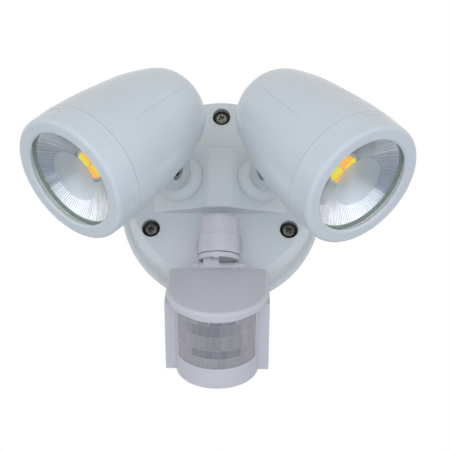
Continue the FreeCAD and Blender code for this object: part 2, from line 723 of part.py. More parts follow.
def glass_gasket(side):
    return head_solid(ring(GLASS_R, GLASS_R - GASKET_W, -REFLECTOR_V, -GASKET_V), side)


def reflector(side):
    t, v0 = REFLECTOR_T, REFLECTOR_V
    end_v = v0 + REFLECTOR_DEPTH
    mid_r = (REFLECTOR_RIM_R + REFLECTOR_END_R) / 2 + 0.6 * REFLECTOR_BOW
    mid_v = (v0 + end_v) / 2 + REFLECTOR_BOW
    body = turned((REFLECTOR_RIM_R, -v0), [
        (GLASS_R, -v0), (GLASS_R, -v0 - t), (REFLECTOR_RIM_R + 0.9 * t, -v0 - t),
        (mid_r + 0.8 * t, -mid_v - t, REFLECTOR_END_R + t, -end_v), (REFLECTOR_END_R, -end_v),
        (mid_r, -mid_v, REFLECTOR_RIM_R, -v0)])
    return head_solid(body, side)


def led_quadrants(side, first_quadrant):
    """Two opposite quarters of the light-emitting disc."""
    quarters = []
    for quadrant in (first_quadrant, first_quadrant + 2):
        quarter = Part.makeCylinder(LED_R, LED_T, V(0, 0, -LED_BOARD_V), V(0, 0, 1), 90)
        quarter.rotate(V(0, 0, 0), V(0, 0, 1), 90 * (quadrant + 0.5))
        quarters.append(quarter)
    return head_solid(Part.makeCompound(quarters), side)


def led_holder(side):
    body = ring(HOLDER_R, LED_R + FIT_GAP, -HOLDER_V - HOLDER_T, -HOLDER_V)
    return head_solid(body, side)


def led_board(side):
    return head_solid(cyl(LED_BOARD_R, -LED_BOARD_V - LED_BOARD_T, -LED_BOARD_V), side)


def heat_spreader(side):
    body = cyl(SPIGOT_IN_R - FIT_GAP, -LEDGE_V, -SPREADER_V)
    for x in (-SPREADER_HOLE_X, SPREADER_HOLE_X):
        body = body.cut(cyl(SPREADER_HOLE_R, -LEDGE_V - 1, -SPREADER_V + 1, x, 0))
    return head_solid(body, side)


def tilt_bolt(side):
    top = FACE_GAP + EAR_T - BOLT_SINK
    seat = top - BOLT_HEAD_T
    end = -FACE_GAP - EAR_T + 0.8
    bolt = fuse([cyl(BOLT_HEAD_R, seat, top), cyl(BOLT_R, end, seat + 0.1)])
    bolt = bolt.cut(hex_prism(HEX_KEY_AF, top - 2.6, top + 1))
    return placed(hand(along_x(bolt), side), head_frame(side))


def tilt_nut(side):
    outer = -FACE_GAP - EAR_T + 0.4
    nut = hex_prism(NUT_AF, outer, outer + NUT_T).cut(cyl(BOLT_R + THREAD_GAP, outer - 1, outer + NUT_T + 1))
    return placed(hand(along_x(nut), side), head_frame(side))


# ---- sensor arm ----
def sensor_stalk():
    top, bevel = COVER_FACE + STALK_FLANGE_T, STALK_FLANGE_T / 3
    flange = turned((0, COVER_FACE), [
        (STALK_FLANGE_R, COVER_FACE), (STALK_FLANGE_R, top - bevel), (STALK_FLANGE_R - bevel, top),
        (0, top), (0, COVER_FACE)])
    stem = cyl(STALK_STEM_R, COVER_FACE - STALK_STEM_LENGTH, COVER_FACE + 0.5)
    neck = cyl(STALK_NECK_R, COVER_FACE, -BARREL_Y)
    fixing = fuse([flange, stem, neck])
    fixing.translate(V(0, STALK_Z, 0))
    fixing = stand_up(fixing)
    e, step_r = BARREL_EDGE_R, BARREL_R + BARREL_STEP_T
    mid = e * (1 - math.sqrt(0.5))
    barrel = turned((0, BARREL_BOTTOM), [
        (step_r, BARREL_BOTTOM), (step_r, BARREL_STEP_Z - BARREL_STEP_T), (BARREL_R, BARREL_STEP_Z),
        (BARREL_R, BARREL_TOP - e), (BARREL_R - mid, BARREL_TOP - mid, BARREL_R - e, BARREL_TOP),
        (0, BARREL_TOP), (0, BARREL_BOTTOM)])
    bore = cyl(SPIGOT_R + RUN_GAP, BARREL_BOTTOM - 1, BARREL_BOTTOM + SPIGOT_RISE + 0.5)
    for shape in (barrel, bore):
        shape.translate(V(0, BARREL_Y, 0))
    return fuse([fixing, barrel]).cut(bore)


def stalk_nut():
    top = COVER_FACE - COVER_WALL
    nut = hex_prism(STALK_NUT_AF, top - STALK_NUT_T, top).cut(cyl(STALK_STEM_R + THREAD_GAP, 0, top + 1))
    nut.translate(V(0, STALK_Z, 0))
    return stand_up(nut)


def pan_collar():
    top = BARREL_BOTTOM - FACE_GAP * 2
    low = top - COLLAR_T
    ring_part = cyl(BARREL_R, low, top).cut(cyl(BARREL_R - COLLAR_WALL, low - 1, top - COLLAR_ROOF_T))
    spigot = cyl(SPIGOT_R, top - 0.1, BARREL_BOTTOM + SPIGOT_RISE)
    roof = top - COLLAR_ROOF_T / 2
    front, edge = -BARREL_R + 0.4, -HINGE_R + 0.1
    rib = prism((front, roof), [
        (front, low - COLLAR_RIB_LOW), (edge, low - COLLAR_RIB_LOW), (edge, HINGE_Z), (-edge, HINGE_Z),
        (-edge, low), (-front, low), (-front, roof), (front, roof)],
        lambda y, z: V(COLLAR_RIB_X - COLLAR_RIB_T / 2, y, z), V(COLLAR_RIB_T, 0, 0))
    web = block(COLLAR_WEB_X, COLLAR_RIB_X, edge, COLLAR_WEB_BACK, HINGE_Z, roof)
    barrel = along_x(cyl(HINGE_R, -HINGE_HALF, HINGE_HALF))
    barrel.translate(V(0, 0, HINGE_Z))
    body = fuse([ring_part, spigot, rib, web, barrel])
    bore = along_x(cyl(HINGE_PIN_R + RUN_GAP, -HINGE_HALF - 1, HINGE_HALF + 1))
    bore.translate(V(0, 0, HINGE_Z))
    body = body.cut(bore)
    body.translate(V(0, BARREL_Y, 0))
    return body


# ---- sensor head: (x, f, u) to the hinge frame ----
def sensor_point(x, f, u):
    return V(x, -(f + HOOD_BACK + HINGE_BEHIND), u + HINGE_BELOW_HOOD)


def sensor_solid(shape):
    return placed(shape, sensor_frame())


def sensor_prism(points, u0, u1):
    """Prism between two heights over a plan outline of (x, f) steps."""
    return prism(points[0], points[1:], lambda x, f: sensor_point(x, f, u0), V(0, 0, u1 - u0))


def sensor_box(x0, x1, f0, f1, u0, u1):
    return sensor_prism([(x0, f0), (x1, f0), (x1, f1), (x0, f1), (x0, f0)], u0, u1)


def drum(r, u0, u1):
    c = sensor_point(0, DRUM_F, u0)
    return Part.makeCylinder(r, u1 - u0, c)


def drum_sector(r_out, r_in, u0, u1, half_deg):
    """Part of the drum's wall, half_deg to each side of straight ahead."""
    c = sensor_point(0, DRUM_F, u0)
    out = Part.makeCylinder(r_out, u1 - u0, c, V(0, 0, 1), 2 * half_deg)
    out.rotate(c, V(0, 0, 1), -90 - half_deg)
    return out.cut(Part.makeCylinder(r_in, u1 - u0 + 2, c - V(0, 0, 1)))


def sensor_hood():
    c = HOOD_CORNER_R
    k = c * (1 - math.sqrt(0.5))
    r, b = HOOD_R, HOOD_BACK
    outline = [(r, 0), (0, r, -r, 0), (-r, -b + c), (-r + k, -b + k, -r + c, -b), (r - c, -b),
               (r - k, -b + k, r, -b + c), (r, 0)]
    hood = sensor_prism(outline, -HOOD_T, 0)
    top = HINGE_BELOW_HOOD
    hood = rounded(hood, HOOD_EDGE_R, lambda e: e.BoundBox.ZMin > top - 0.01)
    inset = 3.0
    pocket = sensor_box(-r + inset, r - inset, -b + inset, CASE_FRONT - inset, -HOOD_T - 1, -HOOD_T + 2.4)
    return sensor_solid(hood.cut(pocket))


def post_points():
    top, low = -HOOD_T - SENSOR_SCREW_INSET, CASE_LOW + SENSOR_SCREW_INSET
    return [(x, u) for x in (-SENSOR_SCREW_X, SENSOR_SCREW_X) for u in (top, low)]


def bar_f(r, f0, f1, x, u):
    """Round bar that runs forward through the sensor."""
    return Part.makeCylinder(r, f1 - f0, sensor_point(x, f0, u), V(0, -1, 0))


def rear_case():
    w, seam = CASE_WALL, CASE_FRONT - CASE_WALL
    outer = sensor_box(-CASE_HALF, CASE_HALF, -HOOD_BACK, seam, CASE_LOW, -HOOD_T)
    outer = rounded(outer, CASE_EDGE_R, lambda e: e.BoundBox.YMin > -HINGE_BEHIND - 0.01)
    inner = sensor_box(-CASE_HALF + w, CASE_HALF - w, -HOOD_BACK + w, seam + 1, CASE_LOW + w, -HOOD_T - w)
    case = outer.cut(inner)
    posts = [bar_f(SENSOR_POST_R, -HOOD_BACK + 0.5, seam, x, u) for x, u in post_points()]
    case = fuse([case, *posts])
    for x, u in post_points():
        case = case.cut(bar_f(SENSOR_SCREW_R + FIT_GAP, -HOOD_BACK - 1, seam + 1, x, u))
        seat = -HOOD_BACK + SENSOR_SCREW_HEAD_T
        case = case.cut(bar_f(SENSOR_SCREW_HEAD_R + FIT_GAP, -HOOD_BACK - 1, seat, x, u))
    lugs = []
    for x0 in (-HINGE_HALF - FACE_GAP - HINGE_LUG_T, HINGE_HALF + FACE_GAP):
        eye = along_x(cyl(HINGE_R, x0, x0 + HINGE_LUG_T))
        under_hood = HINGE_BELOW_HOOD - HOOD_T - FIT_GAP
        arm = block(x0, x0 + HINGE_LUG_T, -HINGE_BEHIND - 1.0, 0, under_hood - LUG_DEPTH, under_hood)
        lugs.append(eye.fuse(arm))
    case = fuse([case, *lugs])
    case = case.cut(along_x(cyl(HINGE_PIN_R, -HINGE_HALF * 2, HINGE_HALF * 2)))
    for i, name in enumerate(KNOB_NAMES):
        x = (i - 1) * KNOB_PITCH
        p = sensor_point(x, KNOB_F, CASE_LOW)
        boss = Part.makeCylinder(KNOB_R + FACE_GAP + 1.4, CASE_WALL + 1.2, p)
        case = fuse([case, boss])
        case = case.cut(Part.makeCylinder(KNOB_R + FACE_GAP, KNOB_WELL_DEPTH + 1, p - V(0, 0, 1)))
        case = case.cut(Part.makeCylinder(KNOB_SHAFT_R + RUN_GAP, CASE_WALL + 4, p - V(0, 0, 1)))
    return sensor_solid(case)


def front_case():
    """Front plate with the drum that holds the lens window."""
    w, f0 = CASE_WALL, CASE_FRONT - CASE_WALL
    plate = sensor_box(-CASE_HALF, CASE_HALF, f0, CASE_FRONT, CASE_LOW, -HOOD_T)
    front_half = sensor_box(-DRUM_R - 1, DRUM_R + 1, f0, DRUM_F + DRUM_R + 1, DRUM_LOW - 1, 0)
    shell = drum(DRUM_R, DRUM_LOW, -HOOD_T).common(front_half)
    hollow = drum(DRUM_R - DRUM_WALL, DRUM_LOW + DRUM_WALL, -HOOD_T - DRUM_WALL)
    body = fuse([plate, shell]).cut(hollow)
    body = body.cut(drum_sector(DRUM_R + 1, DRUM_R - DRUM_WALL - 1, WINDOW_LOW, WINDOW_TOP, WINDOW_DEG))
    for x, u in post_points():
        body = body.cut(bar_f(SENSOR_SCREW_R + THREAD_GAP, f0 - 1, f0 + w * 0.7, x, u))
    return sensor_solid(body)


def sensor_lens():
    gap_deg = math.degrees(FIT_GAP / DRUM_R)
    flange_deg = math.degrees(LENS_FLANGE_W / DRUM_R)
    r_in = DRUM_R - DRUM_WALL
    face = drum_sector(DRUM_R - LENS_INSET, r_in - FIT_GAP, WINDOW_LOW + FIT_GAP, WINDOW_TOP - FIT_GAP,
                       WINDOW_DEG - gap_deg)
    flange_top = -HOOD_T - DRUM_WALL - FIT_GAP
    flange = drum_sector(r_in - FIT_GAP / 2, r_in - LENS_FLANGE_T, WINDOW_LOW - LENS_FLANGE_W,
                         flange_top, WINDOW_DEG + flange_deg)
    return sensor_solid(fuse([face, flange]))


def sensor_board():
    top, low = -HOOD_T - CASE_WALL - BOARD_TOP_GAP, CASE_LOW + CASE_WALL + BOARD_LOW_GAP
    clear = SENSOR_SCREW_X - SENSOR_POST_R - BOARD_POST_GAP
    return sensor_solid(sensor_box(-clear, clear, BOARD_F - BOARD_T, BOARD_F, low, top))


def pir_element():
    can = bar_f(PIR_R, BOARD_F, BOARD_F + PIR_T, 0, PIR_U)
    flange = bar_f(PIR_R + 0.6, BOARD_F, BOARD_F + 0.6, 0, PIR_U)
    half_x, half_u = PIR_SLIT_HALF
    face = BOARD_F + PIR_T
    slit = sensor_box(-half_x, half_x, face - 0.5, face + 1, PIR_U - half_u, PIR_U + half_u)
    return sensor_solid(fuse([can, flange]).cut(slit))


def sensor_screws():
    screws = []
    for x, u in post_points():
        screw = cross_head_screw(SENSOR_SCREW_R, SENSOR_SCREW_HEAD_R, SENSOR_SCREW_HEAD_T * 0.9,
                                 HOOD_BACK + CASE_FRONT - CASE_WALL - SENSOR_SCREW_HEAD_T + 0.8)
        screw.rotate(V(0, 0, 0), V(1, 0, 0), -90)
        screw.translate(sensor_point(x, -HOOD_BACK + SENSOR_SCREW_HEAD_T, u))
        screws.append(screw)
    return sensor_solid(Part.makeCompound(screws))


def hinge_pin():
    half = HINGE_HALF + FACE_GAP + HINGE_LUG_T
    return sensor_solid(along_x(cyl(HINGE_PIN_R, -half, half)))


def knob_centre(index):
    return sensor_point((index - 1) * KNOB_PITCH, KNOB_F, CASE_LOW)


def knob(index):
    """Adjusting knob under the sensor: slotted cap in its well, shaft up through the floor."""
    p = knob_centre(index)
    cap_top = KNOB_WELL_DEPTH - FACE_GAP
    cap = cyl(KNOB_R, cap_top - KNOB_T, cap_top)
    cap = rounded(cap, KNOB_SLOT_T / 2, lambda e: e.BoundBox.ZMax < cap_top - KNOB_T + 0.01)
    shaft = cyl(KNOB_SHAFT_R, cap_top - 0.1, KNOB_SHAFT_LENGTH)
    body = fuse([cap, shaft])
    face, half = cap_top - KNOB_T, KNOB_R * 0.62
    body = body.cut(block(-half, half, -KNOB_SLOT_W / 2, KNOB_SLOT_W / 2, face - 1, face + KNOB_SLOT_T))
    body.translate(p)
    return sensor_solid(body)


HEAD_NODES = {
    "head_shell": head_shell, "bezel": bezel, "front_glass": front_glass, "diffuser": diffuser,
    "glass_gasket": glass_gasket, "reflector": reflector, "led_holder": led_holder,
    "led_board": led_board, "heat_spreader": heat_spreader, "tilt_bolt": tilt_bolt, "tilt_nut": tilt_nut,
}
SWIVEL_NODES = {"swivel": swivel, "swivel_oring": swivel_oring, "swivel_nut": swivel_nut}
BASE_NODES = {
    "back_plate": back_plate, "wall_gasket": wall_gasket, "cable_grommet": cable_grommet,
    "front_cover": front_cover, "cover_seal": cover_seal, "cover_screws": cover_screws,
    "cover_screw_seals": cover_screw_seals, "driver_case": driver_case, "terminal_block": terminal_block,
    "terminal_screws": terminal_screws, "earth_screw": earth_screw, "sensor_stalk": sensor_stalk,
    "stalk_nut": stalk_nut,
}
SENSOR_NODES = {
    "rear_case": rear_case, "front_case": front_case, "sensor_hood": sensor_hood,
    "sensor_lens": sensor_lens, "sensor_board": sensor_board, "pir_element": pir_element,
    "sensor_screws": sensor_screws, "hinge_pin": hinge_pin,
}


def main():
    os.makedirs("parts", exist_ok=True)
    for node, make in BASE_NODES.items():
        save(node, make())
    for side in SIDES:
        for node, make in (*SWIVEL_NODES.items(), *HEAD_NODES.items()):
            save(side + "_" + node, make(side))
        save(side + "_warm_leds", led_quadrants(side, 0))
        save(side + "_cool_leds", led_quadrants(side, 1))
    save("pan_collar", pan_collar())
    for node, make in SENSOR_NODES.items():
        save(node, make())
    for index, name in enumerate(KNOB_NAMES):
        save(name, knob(index))


if __name__ == "__main__":
    main()
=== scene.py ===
import json
import math

import bmesh
import bpy
import numpy as np
from mathutils import Matrix, Vector


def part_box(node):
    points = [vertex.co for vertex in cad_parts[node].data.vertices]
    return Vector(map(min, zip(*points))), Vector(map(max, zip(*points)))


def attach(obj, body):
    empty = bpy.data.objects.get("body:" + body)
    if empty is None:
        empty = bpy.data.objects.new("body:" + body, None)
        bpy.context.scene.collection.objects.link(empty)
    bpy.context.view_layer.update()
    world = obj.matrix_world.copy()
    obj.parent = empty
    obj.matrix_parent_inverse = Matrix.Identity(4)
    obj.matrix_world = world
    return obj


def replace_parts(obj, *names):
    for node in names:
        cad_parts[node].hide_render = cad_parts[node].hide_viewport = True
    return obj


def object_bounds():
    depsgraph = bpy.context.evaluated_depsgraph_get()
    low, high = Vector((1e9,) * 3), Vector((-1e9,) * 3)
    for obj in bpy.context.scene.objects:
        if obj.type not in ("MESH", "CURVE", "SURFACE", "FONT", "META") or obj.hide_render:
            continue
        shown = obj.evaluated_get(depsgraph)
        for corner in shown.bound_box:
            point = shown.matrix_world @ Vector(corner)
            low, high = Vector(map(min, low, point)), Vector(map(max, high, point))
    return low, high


# Looks of a twin-head wall light with a motion sensor. Metres, in the row frame: +Z up, wall at y = 0.
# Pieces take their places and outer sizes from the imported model; the sizes below are finer detail.
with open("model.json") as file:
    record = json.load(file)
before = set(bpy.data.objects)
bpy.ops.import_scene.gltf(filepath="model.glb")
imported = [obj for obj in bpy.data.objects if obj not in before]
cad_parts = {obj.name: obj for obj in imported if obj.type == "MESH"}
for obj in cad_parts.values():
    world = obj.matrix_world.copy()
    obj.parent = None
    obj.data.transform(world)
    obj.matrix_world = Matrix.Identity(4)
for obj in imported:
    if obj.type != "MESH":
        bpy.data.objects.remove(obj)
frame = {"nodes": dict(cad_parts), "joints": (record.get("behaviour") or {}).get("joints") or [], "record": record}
CAD_LOW, CAD_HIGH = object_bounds()

MM = 0.001
SIDES = ("left", "right")
RANDOM_SEED = 7

# ---- camera, fitted to the photograph ----
# place, two axes of its picture, focal length and picture width
CAMERA_AT = Vector((13.66, -750.78, -224.72)) * MM
CAMERA_RIGHT = Vector((0.99985956, 0.01048266, 0.01307575))
CAMERA_UP = Vector((-0.0097518, -0.2706164, 0.96263787))
FOCAL_PIXELS = 1031.88
FRAME_PIXELS = 450.0
SENSOR_WIDTH_MM = 36.0

# ---- stage and light ----
FLOOR_DROP = 0.55        # below the lowest point of the CAD
FLOOR_HALF = 6.0
FLOOR_COLOUR = (0.88, 0.92, 0.98, 1)
WORLD_STRENGTH = 0.75
WORLD_FRONT = (0.85, 0.88, 0.95, 1)
WORLD_BACK = (0.64, 0.62, 0.58, 1)
LIGHT_FROM = (0.0, -0.86, -0.51)    # strongest and coolest from the front and a little below
LIGHT_SPREAD = 0.9       # cosine of the angles from LIGHT_FROM at which the light stops changing
# Each lamp's place, watts and whether it is seen in reflections
KEYS = {
    "left_key": (Vector((-1.05, -0.95, -0.35)), 2.6, True),
    "right_key": (Vector((1.05, -0.95, -0.35)), 3.0, True),
    "front_key": (Vector((0.0, -1.35, -0.40)), 6.2, False),
}
KEY_SIZE = 1.1
KEY_COLOUR = (0.91, 0.965, 1.10)

# Castings that take a lighter copy of the heads' white paint: painted light that lifts the shade they lie in
LIGHTENED_CASTINGS = ("front_cover", "back_plate", "left_swivel", "right_swivel")

SMOOTH_DEG = 38.0        # edges sharper than this stay sharp
TURNED_SEGMENTS = 96

# ---- reflector ----
REFLECTOR_ROWS = 14
REFLECTOR_WALL = 0.6 * MM
REFLECTOR_RIM_GAP = 0.4 * MM     # from the gasket's inner edge inwards
REFLECTOR_BOW = 0.63 * MM        # how far the cone bows out, and as far back
REFLECTOR_SMOOTH_DEG = 30.0
FLUTES = 132
FLUTE_STEPS = 6
FLUTE_DEPTH = 0.16       # as a share of the pitch
# Painted reflection: how bright the plating is made round the cone, in degrees from its outer side downwards
PAINTED_REFLECTION_TONES = (
    (-180, 0.90), (-26, 0.90), (-10, 0.34), (14, 0.16), (32, 0.22),
    (42, 0.90), (60, 0.97), (130, 0.97), (155, 0.93), (180, 0.90))
SECTOR_STREAK_DEG = 7.0  # painted reflection: how far a flute may shift the sectors' ends
FLUTE_REFLECTION_STREAK = 0.06        # painted reflection: how much the flutes' brightness differs at random
VALLEY_PAINTED_SHADE = (0.30, 0.85)       # painted shade: how dark the line in a valley is, least and most
VALLEY_SHADE_WIDTH = 0.25      # half of that line of painted shade, as a share of a flute

# ---- glass and frosted disc ----
GLASS_SEGMENTS = 128
GLASS_CORNER = 0.35 * MM
GLASS_LIFT = 0.06 * MM   # keeps the pane's back off the gasket's face
GROUND_OVERLAP = 0.3 * MM        # how far the ground edge shows inside the gasket
CLEAR, EDGE, GROUND = 0, 1, 2
PANE_BANDS = (CLEAR, CLEAR, EDGE, GROUND, GROUND, GROUND, CLEAR, CLEAR)
FROST_EDGE = 0.4         # rounding, as a share of the disc's thickness

# ---- LED holder and chips ----
HOLDER_ROUND = 0.5 * MM
HOLDER_LIP = 1.3 * MM    # width of the low inner lip
HOLDER_STEP = 0.3 * MM
HOLDER_STEP_DROP = 0.2 * MM
HOLDER_EDGE = 0.4 * MM
SUBSTRATE_T = 1.2 * MM   # ceramic under the LED chips
DAM_OFFSET = 0.2 * MM    # middle of the dam, outside the chips' rim
DAM_R = 0.25 * MM
DAM_SIDE = 0.2 * MM      # height of its straight side
SUBSTRATE_RISE = 0.2 * MM        # the substrate's face, above the chips' seat
CHIP_RIM = 0.9           # points beyond this share of the radius are on the chips' rim
CHIP_GAP = 0.20 * MM     # half of the gap between quarters
CHIP_TIP_R = 0.30 * MM   # blunt tip of a quarter
CHIP_INSET = 0.32 * MM   # how far the quarter's rim is drawn in
CHIP_HEIGHT = 0.75 * MM
CHIP_SIDE = 0.25         # share of the height that is a straight side
CHIP_ROUND = 0.1         # width of the rounding, as a share of the quarter
CHIP_STEPS = 24
CHIP_RINGS = 10

# ---- screws and bolts ----
SCREW_SEGMENTS = 64
SCREW_HEAD_R = 4.75 * MM
SCREW_HEAD_T = 3.0 * MM
SCREW_SHANK_R = 2.45 * MM
SCREW_TIP = (0.7, 0.5)   # flat end and length of its bevel, as shares of the shank's radius
SCREW_END_GAP = 0.2 * MM
SCREW_TURN_DEG = 31.0    # how far the first screw's cross is turned
SCREW_TURN_STEP_DEG = 47.0
# Outline of the pan head: shares of its radius and of its height
PAN_OUTLINE = (
    (0.97, 0.0), (1.0, 0.06), (1.0, 0.42), (0.985, 0.54), (0.93, 0.72),
    (0.82, 0.86), (0.6, 0.95), (0.3, 0.995), (0.0, 1.0))
CROSS_ARM = 0.115        # half width of an arm, as a share of the head's radius
CROSS_REACH = 0.56
CROSS_CORNER = 1.5       # inner corners between the arms, in half widths
CROSS_FLOOR = 0.25       # lowest and highest point of its cutter, as shares of the head's height
CROSS_TOP = 1.2
CROSS_TAPER = 0.55
BOLT_HEAD_T = 5.0 * MM
BOLT_SHANK_R = 2.5 * MM
BOLT_TIP = (0.75, 0.4)   # as SCREW_TIP
BOLT_CHAMFER = 0.45 * MM
BOLT_ROUND = 0.63 * MM
BOLT_FACE = 0.66         # flat part of the head's face, as a share of its radius
KNURLS = 24
KNURL_DEPTH = 0.09 * MM
KNURLED_ROWS = (5, 6)    # places in the bolt's profile where the head's side starts and ends
HEX_SHARE = 0.53
HEX_DEPTH = 2.7 * MM
HEX_TAPER = 0.96
CUT_CLEAR = 1.0 * MM     # how far a cutter stands out of the face that it cuts

# ---- sensor lens ----
LENS_ROWS = (-6.1, -9.1, -17.2, -27.1, -33.6, -40.6)    # heights below the hood's top, mm
LENS_COLUMNS = (7, 13, 17, 13, 9)
LENS_STAGGER = (0.0, 0.0, 0.5, 0.0, 0.5)
LENS_PAINTED_SHADE = (0.45, 0.50, 0.22, 0.50, 0.12)       # painted shade: how dark the middle of each row is made
LENS_PAINTED_SHADE_REACH = 0.7   # how far out the painted shade of the middle reaches, as a share of the half width
LENS_TONE = 0.66
LENS_TONE_SPREAD = 0.12
LENS_FINE_COLUMNS = 220
LENS_FINE_ROWS = 100
LENS_WALL = 1.6 * MM
LENS_BULGE = 0.16 * MM
LENS_STEP = 0.45         # share of the bulge that is a flat step inside the groove
LENS_GROOVE = 0.45 * MM
LENS_GROOVE_TONE = 0.28
LENS_CELL_WIDTH = 1.2    # width of a usual segment, in heights
LENS_SKIN = 0.02 * MM    # points this close to the lens's radius are on its outer face
LENS_SMOOTH_DEG = 60.0


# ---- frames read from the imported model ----
class Axes:
    """A local frame: origin and three unit axes in the row frame."""

    def __init__(self, origin, x, y, z):
        self.origin = np.array(origin, float)
        self.matrix = np.array([x, y, z], float)

    def to_local(self, points):
        return (np.asarray(points, float) - self.origin) @ self.matrix.T

    def to_row(self, points):
        return np.asarray(points, float) @ self.matrix + self.origin


def unit(v):
    v = np.array(v, float)
    return v / np.linalg.norm(v)


def node_points(node):
    mesh = frame["nodes"][node].data
    co = np.zeros(len(mesh.vertices) * 3)
    mesh.vertices.foreach_get("co", co)
    return co.reshape(-1, 3)


def node_centre(node):
    low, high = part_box(node)
    return np.array((low + high) / 2)


def joint(name):
    return next(j for j in frame["joints"] if j["name"] == name)


def joint_axes(name):
    j = joint(name)
    return np.array(j["pos_m"], float), unit(j["axis"])


def span(node, axes):
    """Lowest and highest local coordinates of a node, and its least and greatest radius round Z."""
    p = axes.to_local(node_points(node))
    r = np.hypot(p[:, 0], p[:, 1])
    return p.min(0), p.max(0), r.min(), r.max()


def head_axes(side):
    """Z along the head, forwards from the bezel's face, and X along the tilt bolt towards its head."""
    glass, board = node_centre(side + "_front_glass"), node_centre(side + "_led_board")
    z = unit(glass - board)
    pivot, bolt = joint_axes(side + "_tilt")
    if np.dot(node_centre(side + "_tilt_bolt") - pivot, bolt) < 0:
        bolt = -bolt
    y = unit(np.cross(z, bolt))
    x = np.cross(y, z)
    rough = Axes(glass, x, y, z)
    face = span(side + "_bezel", rough)[1][2]
    return Axes(glass + z * face, x, y, z)


def bolt_axes(side):
    """Z along the tilt bolt towards its head, from the bolt's end face."""
    head = head_axes(side)
    z, y = head.matrix[0], head.matrix[2]
    pivot = joint_axes(side + "_tilt")[0]
    rough = Axes(pivot, np.cross(y, z), y, z)
    top = span(side + "_tilt_bolt", rough)[1][2]
    return Axes(pivot + z * top, np.cross(y, z), y, z)


def sensor_axes():
    """X across, Y forward and Z up through the sensor, from the drum's axis at the hood's top."""
    up = joint_axes("range_knob_turn")[1]
    hinge, across = joint_axes("sensor_tilt")
    forward = unit(np.cross(up, across))
    if forward[1] > 0:
        forward = -forward
    rough = Axes(hinge, across, forward, up)
    lens = rough.to_local(node_points("sensor_lens"))
    radius, centre = drum_circle(lens)
    top = span("sensor_hood", rough)[1][2]
    origin = hinge + forward * centre + up * top
    return Axes(origin, across, forward, up), radius


def drum_circle(lens):
    """Radius of the lens and how far forward its axis lies, from its front and widest outer point."""
    front = lens[:, 1].max()
    forward_share = 0.3      # of the widest points, the most forward one lies on the outer face
    outer = lens[np.argmax(np.abs(lens[:, 0]) + lens[:, 1] * forward_share)]
    drop = front - outer[1]
    radius = (drop ** 2 + outer[0] ** 2) / (2 * drop)
    return radius, front - radius


# ---- mesh helpers ----
def mesh_piece(name, points, faces, looks, body, face_looks=None, sharp_deg=SMOOTH_DEG):
    """A visual piece that rides on a body; looks are its materials, face_looks each face's choice."""
    mesh = bpy.data.meshes.new(name)
    mesh.from_pydata([tuple(p) for p in points], [], [tuple(f) for f in faces])
    for look in looks:
        mesh.materials.append(look)
    if face_looks is not None:
        mesh.polygons.foreach_set("material_index", np.asarray(face_looks, np.int32))
    tidy(mesh, sharp_deg)
    obj = bpy.data.objects.new(name, mesh)
    bpy.context.scene.collection.objects.link(obj)
    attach(obj, body)
    return obj


def turned_piece(name, side, axes, profile, segments, looks, face_looks=None):
    """A piece of a head, turned round its axis."""
    points, faces = lathe(profile, segments)
    return mesh_piece(name, axes.to_row(points), faces, looks, side + "_head", face_looks)


def set_tones(piece, tones):
    """Tone of each point, which the piece's material reads."""
    attribute = piece.data.attributes.new("tone", "FLOAT", "POINT")
    attribute.data.foreach_set("value", np.asarray(tones, np.float32))


def tidy(mesh, sharp_deg):
    """Joined points, outward faces and smooth shading with sharp edges."""
    bm = bmesh.new()
    bm.from_mesh(mesh)
    bmesh.ops.remove_doubles(bm, verts=bm.verts, dist=1e-7)
    bmesh.ops.recalc_face_normals(bm, faces=bm.faces)
    bm.to_mesh(mesh)
    bm.free()
    for polygon in mesh.polygons:
        polygon.use_smooth = True
    mesh.set_sharp_from_angle(angle=math.radians(sharp_deg))


def grid_faces(rows, columns, wrap, start=0):
    """Quads of a grid of rows by columns points, closed round if wrap."""
    faces = []
    for i in range(rows - 1):
        for j in range(columns if wrap else columns - 1):
            a, b = i * columns + j, i * columns + (j + 1) % columns
            faces.append((start + a, start + b, start + b + columns, start + a + columns))
    return faces


def lathe(profile, segments, ripple=None):
    """Points and faces of a turned shape; its (r, z) profile ends on the axis or where it began."""
    angles = np.arange(segments) * 2 * math.pi / segments
    points = []
    for i, (r, z) in enumerate(profile):
        radius = np.full(segments, r) if ripple is None else r + ripple(i, angles)
        height = np.full(segments, z)
        points.append(np.stack([radius * np.cos(angles), radius * np.sin(angles), height], 1))
    return np.concatenate(points), grid_faces(len(profile), segments, True)


def arc(cx, cz, r, start_deg, end_deg, steps):
    """Profile points along an arc in the (r, z) plane."""
    turns = np.radians(np.linspace(start_deg, end_deg, steps + 1))
    return [(cx + r * math.cos(t), cz + r * math.sin(t)) for t in turns]


def prism_mesh(outline, low, high, taper=1.0):
    """A closed prism as a bpy mesh, its lower outline scaled by taper."""
    n = len(outline)
    points = [(x * taper, y * taper, low) for x, y in outline] + [(x, y, high) for x, y in outline]
    faces = [tuple(range(n))[::-1], tuple(range(n, 2 * n))]
    faces += [(i, (i + 1) % n, n + (i + 1) % n, n + i) for i in range(n)]
    mesh = bpy.data.meshes.new("cutter")
    mesh.from_pydata(points, [], faces)
    return mesh


def carved(points, faces, cutter):
    """The turned shape with the cutter mesh taken out of it, as points and faces."""
    body = bpy.data.meshes.new("carved")
    body.from_pydata([tuple(p) for p in points], [], [tuple(f) for f in faces])
    tidy(body, SMOOTH_DEG)
    solid = bpy.data.objects.new("carved", body)
    knife = bpy.data.objects.new("cutter", cutter)
    for obj in (solid, knife):
        bpy.context.scene.collection.objects.link(obj)
    cut = solid.modifiers.new("cut", "BOOLEAN")
    cut.object, cut.operation, cut.solver = knife, "DIFFERENCE", "EXACT"
    bpy.context.view_layer.update()
    result = solid.evaluated_get(bpy.context.evaluated_depsgraph_get()).to_mesh()
    out_points = np.array([v.co[:] for v in result.vertices])
    out_faces = [tuple(p.vertices) for p in result.polygons]
    solid.to_mesh_clear()
    for obj in (solid, knife):
        data = obj.data
        bpy.data.objects.remove(obj)
        bpy.data.meshes.remove(data)
    return out_points, out_faces


